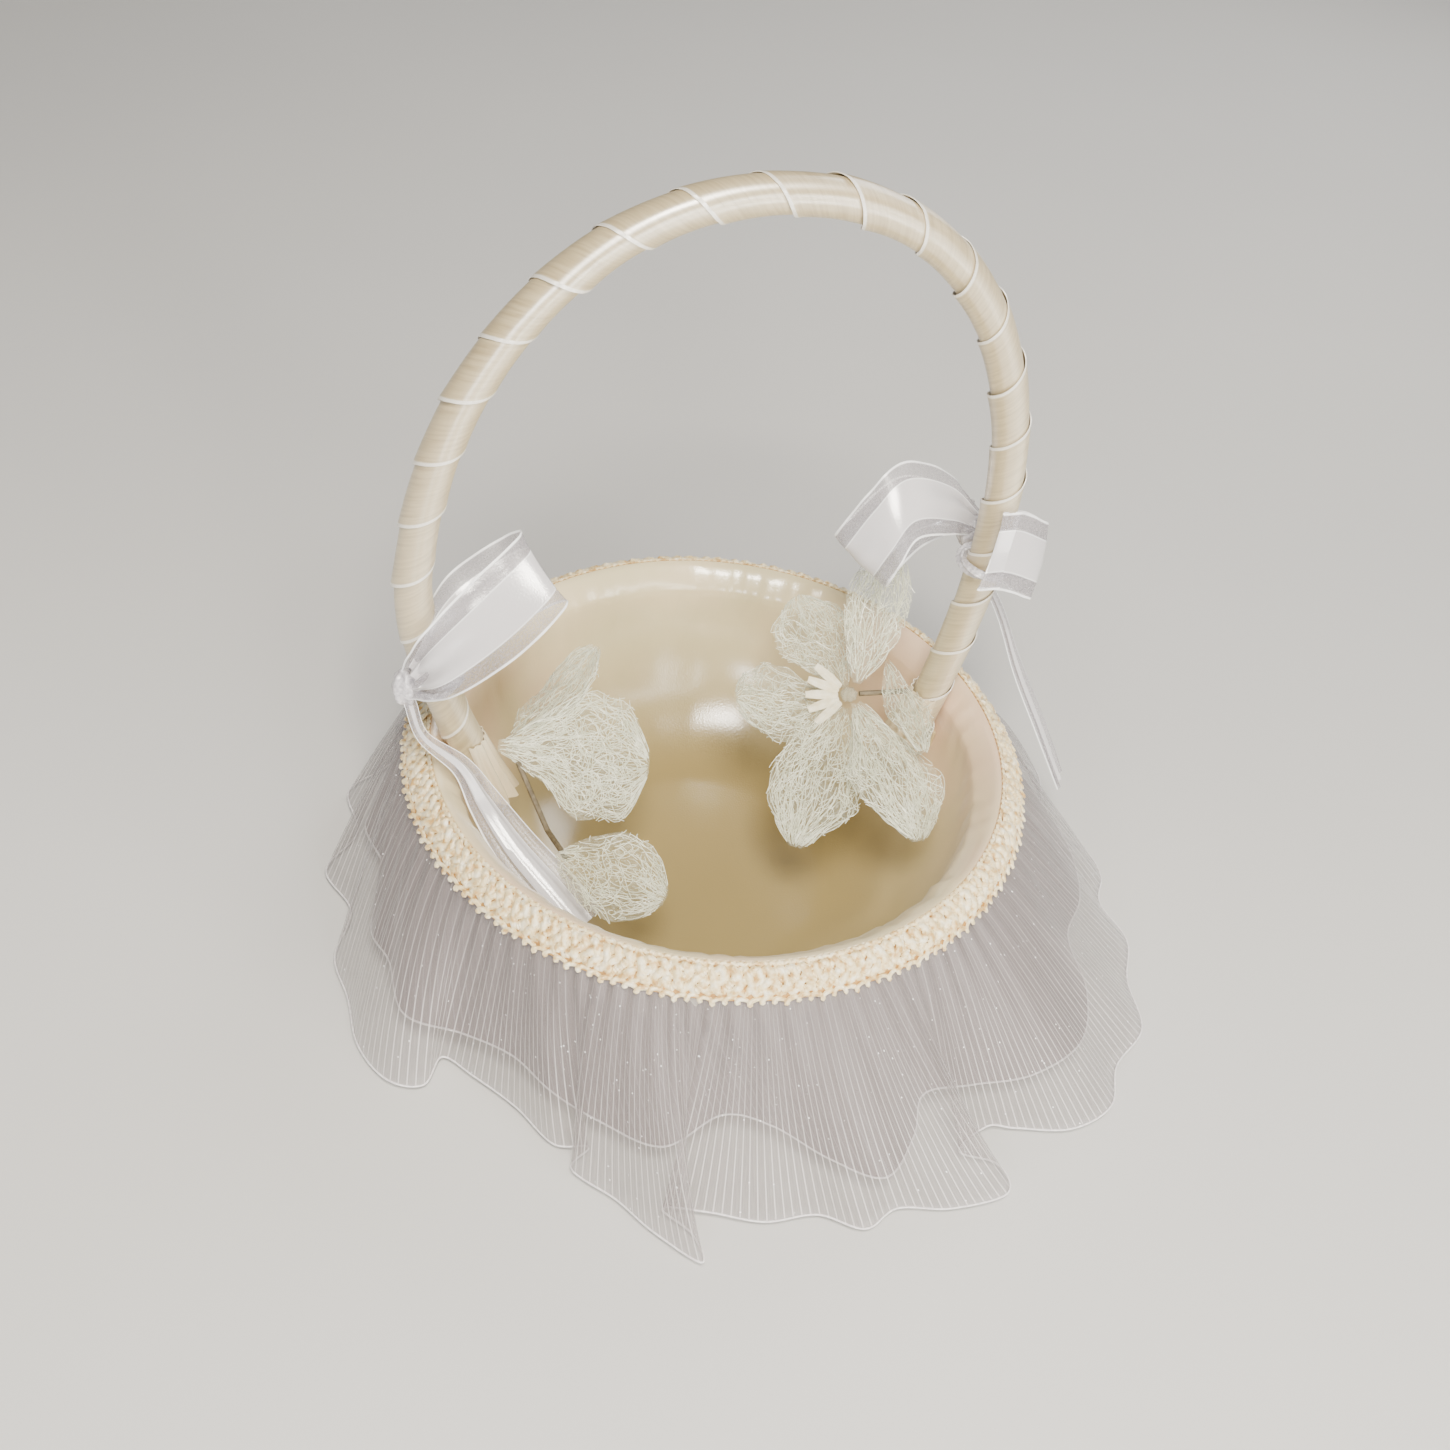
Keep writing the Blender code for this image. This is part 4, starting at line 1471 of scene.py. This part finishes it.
def wrapped_knot(
    name: str, centre: Vector, radii: tuple[float, float, float], lobes: int
) -> bpy.types.Object:
    """A knot of crumpled ribbon, from a sphere whose surface is drawn into swirling folds.

    Args:
        name: The piece's name.
        centre: The knot's middle.
        radii: Its radius along each axis.
        lobes: The number of folds round it.

    Returns:
        The knot.
    """
    bpy.ops.object.select_all(action="DESELECT")
    bpy.ops.mesh.primitive_uv_sphere_add(segments=48, ring_count=24, radius=1.0, location=(0, 0, 0))
    piece = bpy.context.view_layer.objects.active
    piece.name = name
    bpy.ops.object.mode_set(mode="EDIT")
    bpy.ops.mesh.select_all(action="SELECT")
    bpy.ops.transform.resize(value=radii, center_override=(0, 0, 0))
    bpy.ops.object.mode_set(mode="OBJECT")
    for vertex in piece.data.vertices:
        unit = Vector(part / radius for part, radius in zip(vertex.co, radii))
        turn = math.atan2(unit.y, unit.x)
        calm = 1 - abs(unit.z) ** 3
        swirl = math.cos(lobes * turn + 2.4 * unit.z)
        crumple = noise.noise(unit * 2.3 + Vector((lobes, 0, 0)))
        vertex.co = vertex.co * (1 + 0.10 * swirl * calm + 0.12 * crumple)
    piece.data.transform(Matrix.Translation(centre))
    smooth(piece, 60)
    return piece


@dataclass
class Bow:
    """A tie and a knot on one leg, with its loops and its tail."""

    side: Side
    height: float  # of the tie above the rim
    knot: Vector
    loops: list[Loop]
    tail: Tail
    tie_radius: float = 0.0014
    knot_radii: tuple[float, float, float] = (0.0040, 0.0044, 0.0061)

    def build(self, handle: Handle, wardrobe: Wardrobe) -> None:
        """Builds the tie, the knot, the loops and the tail.

        Args:
            handle: The handle that it is tied to.
            wardrobe: The finishes.
        """
        word = self.side.name.lower()
        centre = handle.leg_point(self.side, self.height)
        over, under = (handle.leg_point(self.side, self.height + step) for step in (0.008, -0.008))
        around = handle.outside + self.tie_radius + 0.0005
        ring = twisted_ring(f"{word}_tie", centre, over - under, around, self.tie_radius)
        finish_piece(ring, wardrobe.bow_rope, "organza_ribbon", f"{word}_bow_tie")
        ball = wrapped_knot(f"{word}_knot", self.knot, self.knot_radii, 5)
        finish_piece(ball, wardrobe.bow_rope, "organza_ribbon", f"{word}_bow_knot")
        for loop in self.loops:
            loop.build(wardrobe)
        self.tail.build(wardrobe)


# Flowers ----------------------------------------------------------------------------


@dataclass
class Petal:
    """A leaf of fibre web, cupped, with loose fibres over it."""

    name: str
    node: str
    start: Vector
    tip: Vector
    across: Vector
    width: float
    lift: float
    fibres: int
    seed: int
    fan: float = 1.25  # above 1 the petal is widest nearer its tip
    leaf_share: float = 0.78  # a leaf's share of the rectangle round it
    fibre_radius: float = 0.00013
    fibre_points: int = 10
    columns: int = 18
    levels: int = 26

    def point(self, share: float, place: float, above: float = 0.0) -> Vector:
        """A point on the petal, at a share of its length and a place from -1 to 1 across it.

        Args:
            share: The share of the petal's length.
            place: The place across it, from -1 to 1.
            above: The height above it.

        Returns:
            The point.
        """
        reach = (self.tip - self.start).length
        along, across, face = square_axes(self.tip - self.start, self.across)
        fullness = max(0.0, math.sin(math.pi * min(share, 0.995) ** self.fan)) ** 0.75
        half = self.width / 2 * (0.10 + 0.90 * fullness)
        if share > 0.9:
            half = min(half, self.width / 2 * math.sqrt(max(0.0, 1 - ((share - 0.78) / 0.225) ** 2)) * 1.25)
        half *= 1 + 0.16 * noise.noise(Vector((share * 5, math.copysign(2.0, place), self.seed)))
        ruffle = 0.0013 * math.sin(9 * share + 4 * place + self.seed) * place * place
        crumple = noise.noise(Vector((share * 6, place * 3, self.seed)))
        curl = self.lift * math.sin(math.pi * share) + 0.0010 * crumple
        return self.start + along * (reach * share) + face * (curl + ruffle + above) + across * (half * place)

    def build(self, wardrobe: Wardrobe) -> None:
        """Builds the web and its fibres.

        Args:
            wardrobe: The finishes.
        """
        middle = self.columns / 2
        rows = []
        for share in spread(1, self.levels):
            rows.append([self.point(share, column / middle - 1) for column in range(self.columns + 1)])
        reach = (self.tip - self.start).length
        piece = cloth(self.name, rows, spread(self.width, self.columns), spread(reach, self.levels))
        finish_piece(piece, wardrobe.web, "fibre_mesh", self.node)
        dice = random.Random(self.seed)
        lines = []
        for _ in range(self.fibres):
            share, place = dice.uniform(0.02, 0.97) ** 0.8, dice.uniform(-0.97, 0.97)
            heading, bend = dice.gauss(0.0, 1.1), dice.gauss(0.0, 0.5)
            above = dice.uniform(-0.0004, 0.0008)
            stride = dice.uniform(0.015, 0.05)
            line = []
            for _ in range(self.fibre_points):
                line.append(self.point(share, place, above))
                share += stride * math.cos(heading)
                place += stride * 1.8 * math.sin(heading)
                heading += bend * 0.5
                if not (0.01 < share < 0.99 and -1.07 < place < 1.07):
                    break
            if len(line) > 2:
                lines.append(line)
        hairs = cords(f"{self.name}_fibres", lines, self.fibre_radius, False, 4)
        finish_piece(hairs, wardrobe.fibre, "fibre_mesh")


@dataclass
class Flower:
    """A hub with its petals and, on the right, its stamens."""

    side: Side
    petals: list[tuple]  # start and tip from the hub, across, width, lift
    stamens: int = 0
    stamen_spread: float = 20.0  # degrees between two stamens
    stamen_length: float = 0.011
    stamen_start: float = 0.0040  # from the hub's middle
    stamen_half_width: float = 0.0012
    hub_radii: tuple[float, float, float] = (0.0026, 0.0026, 0.0024)
    fibres: int = 300  # on a leaf of the usual size
    usual: tuple[float, float] = (0.03, 0.04)

    def build(self, wardrobe: Wardrobe) -> None:
        """Builds the flower and dresses its wire.

        Args:
            wardrobe: The finishes.
        """
        word = self.side.name.lower()
        hub = centre_of(f"{word}_flower_hub")
        ball = wrapped_knot(f"{word}_hub", hub, self.hub_radii, 7)
        finish_piece(ball, wardrobe.web, "fibre_mesh", f"{word}_flower_hub")
        for number, (start, tip, across, width, lift, fan) in enumerate(self.petals, 1):
            begin, end = hub + Vector(start), hub + Vector(tip)
            reach = (Vector(tip) - Vector(start)).length
            leaf = Petal(
                f"{word}_web_{number}",
                f"{word}_petal_{number}",
                begin,
                end,
                Vector(across),
                width,
                lift,
                fibres=int(self.fibres * (width / self.usual[0]) * (reach / self.usual[1])),
                seed=number * 7 + self.side.value,
                fan=fan,
            )
            leaf.build(wardrobe)
        for number in range(self.stamens):
            self.stamen(hub, number, wardrobe)
        wear(frame["nodes"][f"{word}_flower_stem"], wardrobe.wire)

    def stamen(self, hub: Vector, number: int, wardrobe: Wardrobe) -> None:
        """Folds one stamen from a strip of paper, creased down its middle and curled at its end.

        Args:
            hub: The flower's middle.
            number: The stamen's number.
            wardrobe: The finishes.
        """
        angle = math.radians(self.stamen_spread * (number - (self.stamens - 1) / 2))
        aside = Vector((-0.96, 0.25, -0.11))
        upward = Vector((0.10, 0.69, 0.72))
        forward = Vector((-0.26, -0.68, 0.68))
        out = (aside * math.cos(angle) + upward * math.sin(angle) + forward * 0.35).normalized()
        along, across, face = square_axes(out, upward * math.cos(angle) - aside * math.sin(angle))
        start = hub + out * self.stamen_start + forward * 0.0016
        rows = []
        for share in spread(1, 12):
            half = self.stamen_half_width * (0.45 + 0.75 * math.sin(math.pi * (0.15 + 0.7 * share)))
            curl = 0.0012 * share * share
            row = []
            for part in range(7):
                place = part / 3 - 1
                crease = 0.0007 * abs(place) * (1 - 0.4 * share)
                spot = start + along * (self.stamen_length * share) + across * (half * place)
                row.append(spot + face * (crease + curl))
            rows.append(row)
        piece = cloth(f"stamen_{number + 1}", rows, spread(1, 6), spread(1, 12), 0.0003)
        finish_piece(piece, wardrobe.paper, "cream_paper", f"right_stamen_{number + 1}")


# Studio -----------------------------------------------------------------------------


@dataclass
class Studio:
    """A plain pale floor, soft light and the camera."""

    rim_height: float = 0.070
    elevation: float = 43.23
    azimuth: float = -20.8
    distance: float = 0.600
    lens: float = 46.7
    roll: float = 8.65
    aim: tuple[float, float] = (0.0011, 0.0048)  # of the rim's middle, right and up
    floor_size: float = 6.0
    floor_height: float = -0.0002
    sky: str = "DADDE2"
    sky_strength: float = 0.24
    strip_power: float = 3.0

    def camera(self) -> None:
        """Places the camera."""
        turn, rise = math.radians(self.azimuth), math.radians(self.elevation)
        back = Vector((math.sin(turn) * math.cos(rise), -math.cos(turn) * math.cos(rise), math.sin(rise)))
        right = Vector((math.cos(turn), math.sin(turn), 0))
        up = back.cross(right)
        eye = Vector((0, 0, self.rim_height)) + back * self.distance
        target = Vector((0, 0, self.rim_height)) + right * self.aim[0] + up * self.aim[1]
        back = (eye - target).normalized()
        right = up.cross(back).normalized()
        up = back.cross(right)
        tilt = math.radians(self.roll)
        right, up = right * math.cos(tilt) + up * math.sin(tilt), up * math.cos(tilt) - right * math.sin(tilt)
        data = bpy.data.cameras.new("camera")
        data.lens = self.lens
        data.sensor_width = 36
        data.clip_start = 0.01
        camera = link("camera", data)
        camera.matrix_world = Matrix((
            (right.x, up.x, back.x, eye.x),
            (right.y, up.y, back.y, eye.y),
            (right.z, up.z, back.z, eye.z),
            (0, 0, 0, 1),
        ))
        bpy.context.scene.camera = camera

    @staticmethod
    def lamp(
        name: str, place: tuple[float, float, float], size: tuple[float, float], power: float, tint: str
    ) -> None:
        """Hangs a soft lamp that looks at the bowl.

        Args:
            name: The lamp's name.
            place: Where it hangs.
            size: Its width and height.
            power: Its power in watts.
            tint: Its sRGB hex colour.
        """
        data = bpy.data.lights.new(name, "AREA")
        data.shape = "RECTANGLE"
        data.size, data.size_y = size
        data.energy = power
        data.color = colour(tint)[:3]
        lamp = link(name, data)
        lamp.location = place
        lamp.rotation_euler = (Vector((0, 0, 0.08)) - Vector(place)).to_track_quat("-Z", "Y").to_euler()

    def build(self) -> None:
        """Builds the floor, the light and the camera."""
        bpy.ops.object.select_all(action="DESELECT")
        bpy.ops.mesh.primitive_plane_add(size=self.floor_size, location=(0, 0, self.floor_height))
        floor = bpy.context.view_layer.objects.active
        floor.name = "floor"
        wear(floor, Plain("pale_floor", "D9D7D3", "D3D1CD", 400.0, 0.9, bump=0.0, level=0.2).build())
        world = bpy.data.worlds.new("studio")
        world.use_nodes = True
        ground = world.node_tree.nodes["Background"]
        ground.inputs["Color"].default_value = colour(self.sky)
        ground.inputs["Strength"].default_value = self.sky_strength
        bpy.context.scene.world = world
        self.lamp("key", (-0.16, -0.53, 0.98), (0.26, 0.26), 18.0, "FFF8EC")
        self.lamp("window", (-0.455, -0.835, 0.379), (0.20, 0.20), 3.5, "FDFDFF")
        self.lamp("rim", (0.7, 0.6, 0.7), (0.5, 0.5), 5.0, "FFFFFF")
        # A square frame of strip lamps low in front, whose dim middle shows in every glossy piece.
        middle = Vector((0.314, -0.862, 0.330))
        aside = Vector((0.94, 0.34, 0.0))
        upward = Vector((-0.08, 0.24, 0.97))
        for word, offset, size in (
            ("over", upward * 0.25, (0.64, 0.12)),
            ("under", upward * -0.25, (0.64, 0.12)),
            ("left", aside * -0.26, (0.12, 0.38)),
            ("right", aside * 0.26, (0.12, 0.38)),
        ):
            self.lamp(f"strip_{word}", tuple(middle + offset), size, self.strip_power, "FFFDF6")
        self.camera()


# Assembly ---------------------------------------------------------------------------


def left_bow(handle: Handle) -> Bow:
    """One loop that lies over the bowl, in front of the leg, and a tail down inside the bowl.

    Args:
        handle: The handle that it is tied to.

    Returns:
        The bow.
    """
    knot = Vector((-0.0985, 0.0080, 0.0975))
    foot = handle.leg_point(Side.LEFT, 0)
    loop = Loop("left_loop", "left_bow_loop", [
        ((-98, 7, 99), (1, -3, -2.5)),
        ((-91, -3, 114), (4, -7, -5.5)),
        ((-74, -1, 129), (6, -9, -6.5)),
        ((-59, 6, 140), (5.5, -9, -6.5)),
        ((-63, 14, 133), (5.5, -9, -6.5)),
        ((-82, 8, 124), (5, -8, -6)),
        ((-97, 3, 107), (1, -3, -3)),
    ])
    offsets = (
        (-0.0040, -0.0188, 0.0058),
        (0.0024, -0.0248, -0.0047),
        (0.0104, -0.0368, -0.0137),
        (0.0204, -0.0498, -0.0217),
        (0.0274, -0.0588, -0.0277),
    )
    points = [knot + Vector((0.001, -0.002, -0.004)), Vector((-0.0945, -0.0015, 0.0855))]
    points += [foot + Vector(offset) for offset in offsets]
    widths = [0.004, 0.004, 0.007, 0.012, 0.016, 0.018, 0.018]
    across = Vector((0.62, 0.60, 0.0))
    under = ("lining_satin",)
    tail = Tail("left_tail", "left_bow_tail", points, widths, across, held="laid", rests_on=under)
    return Bow(Side.LEFT, 0.027, knot, [loop], tail)


def right_bow() -> Bow:
    """A large loop towards the bowl, a small one in front of the handle, and a loose tail.

    Returns:
        The bow.
    """
    knot = centre_of("right_bow_knot")
    large = Loop("right_large_loop", "right_bow_large_loop", [
        ((86, 27, 129), (-1, -3, -3)),
        ((75, 27, 137), (-1, -7, -7)),
        ((61, 26, 140), (1, -9, -8.5)),
        ((52, 22, 132), (4, -9, -7.5)),
        ((47, 23, 120), (7, -8, -5)),
        ((53, 31, 118), (6, -8, -6)),
        ((70, 40, 125), (2, -8.5, -8)),
        ((87, 32, 128), (-1, -3, -3)),
    ])
    small = Loop("right_small_loop", "right_bow_small_loop", [
        ((88, 26, 126), (-1.5, -2.5, -3)),
        ((96, 17, 125), (-3.5, -7.5, -9)),
        ((100, 10, 126), (-4, -7.5, -9)),
        ((98, 4, 130), (-4, -7.5, -9)),
        ((88, 2, 136), (-4.5, -7.5, -9)),
        ((79, 0, 139), (-5, -7, -9)),
        ((78, -2, 140), (-5, -7, -9)),
        ((84, -2, 140), (-4.5, -7, -9)),
    ])
    hinge = knot + Vector((0.001, 0.0, -0.0068))
    past_lip = 0.0905 - hinge.x
    offsets = (
        (0.0, 0.0, 0.0),
        (0.0096 + past_lip / 2, -0.008, -0.020),
        (0.0161 + past_lip, -0.014, -0.041),
        (0.0271 + past_lip, -0.020, -0.063),
        (0.0391 + past_lip, -0.025, -0.088),
    )
    points = [hinge + Vector(offset) for offset in offsets]
    widths = [0.003, 0.007, 0.010, 0.012, 0.010]
    across = Vector((0.45, 0.89, 0.0))
    tail = Tail("hanging_tail", "right_bow_tail", points, widths, across, "ribbon_tail", 0.0009, 0.012)
    return Bow(Side.RIGHT, 0.054, knot, [large, small], tail)


LEFT_PETALS = [
    ((-0.0050, 0.0010, 0.0020), (0.0430, -0.0060, -0.0070), (0.33, 0.81, 0.49), 0.044, 0.003, 1.8),
    ((0.000, 0.004, 0.003), (0.032, 0.030, 0.014), (0.24, -0.76, 0.30), 0.022, 0.002, 1.25),
    ((0.007, -0.034, -0.013), (0.037, -0.056, -0.014), (0.31, 0.89, 0.33), 0.029, 0.003, 1.25),
]
RIGHT_PETALS = [
    ((0.000, 0.0045, -0.001), (-0.006, 0.042, 0.009), (0.88, 0.46, 0.14), 0.029, 0.002, 1.4),
    ((-0.0035, 0.000, -0.001), (-0.038, 0.004, 0.000), (0.36, 0.91, 0.10), 0.034, 0.003, 1.4),
    ((-0.0015, -0.0022, -0.0036), (-0.029, -0.044, -0.022), (0.83, -0.55, 0.0), 0.030, 0.003, 1.25),
    ((0.001, -0.0035, -0.001), (0.008, -0.055, -0.014), (0.97, 0.08, -0.23), 0.032, 0.003, 1.4),
    ((0.017, 0.012, 0.0023), (0.015, -0.032, 0.0020), (0.99, 0.12, 0.0), 0.014, 0.0, 1.25),
    ((0.003, 0.0020, 0.0028), (0.019, 0.031, 0.036), (0.99, -0.13, 0.0), 0.022, -0.002, 1.25),
]


def main() -> None:
    """Builds the basket's looks from the bowl outwards, then the studio."""
    logging.basicConfig(level=logging.INFO, format="%(name)s: %(message)s")
    Studio().build()
    wardrobe = Wardrobe()
    bowl = Bowl()
    bowl.build(wardrobe)
    RimBraid(bowl).build(wardrobe)
    Skirt().build(wardrobe)
    handle = Handle()
    handle.build(wardrobe)
    left_bow(handle).build(handle, wardrobe)
    right_bow().build(handle, wardrobe)
    Flower(Side.LEFT, LEFT_PETALS).build(wardrobe)
    Flower(Side.RIGHT, RIGHT_PETALS, stamens=5).build(wardrobe)
    bpy.ops.object.select_all(action="DESELECT")


if __name__ == "__main__":
    main()
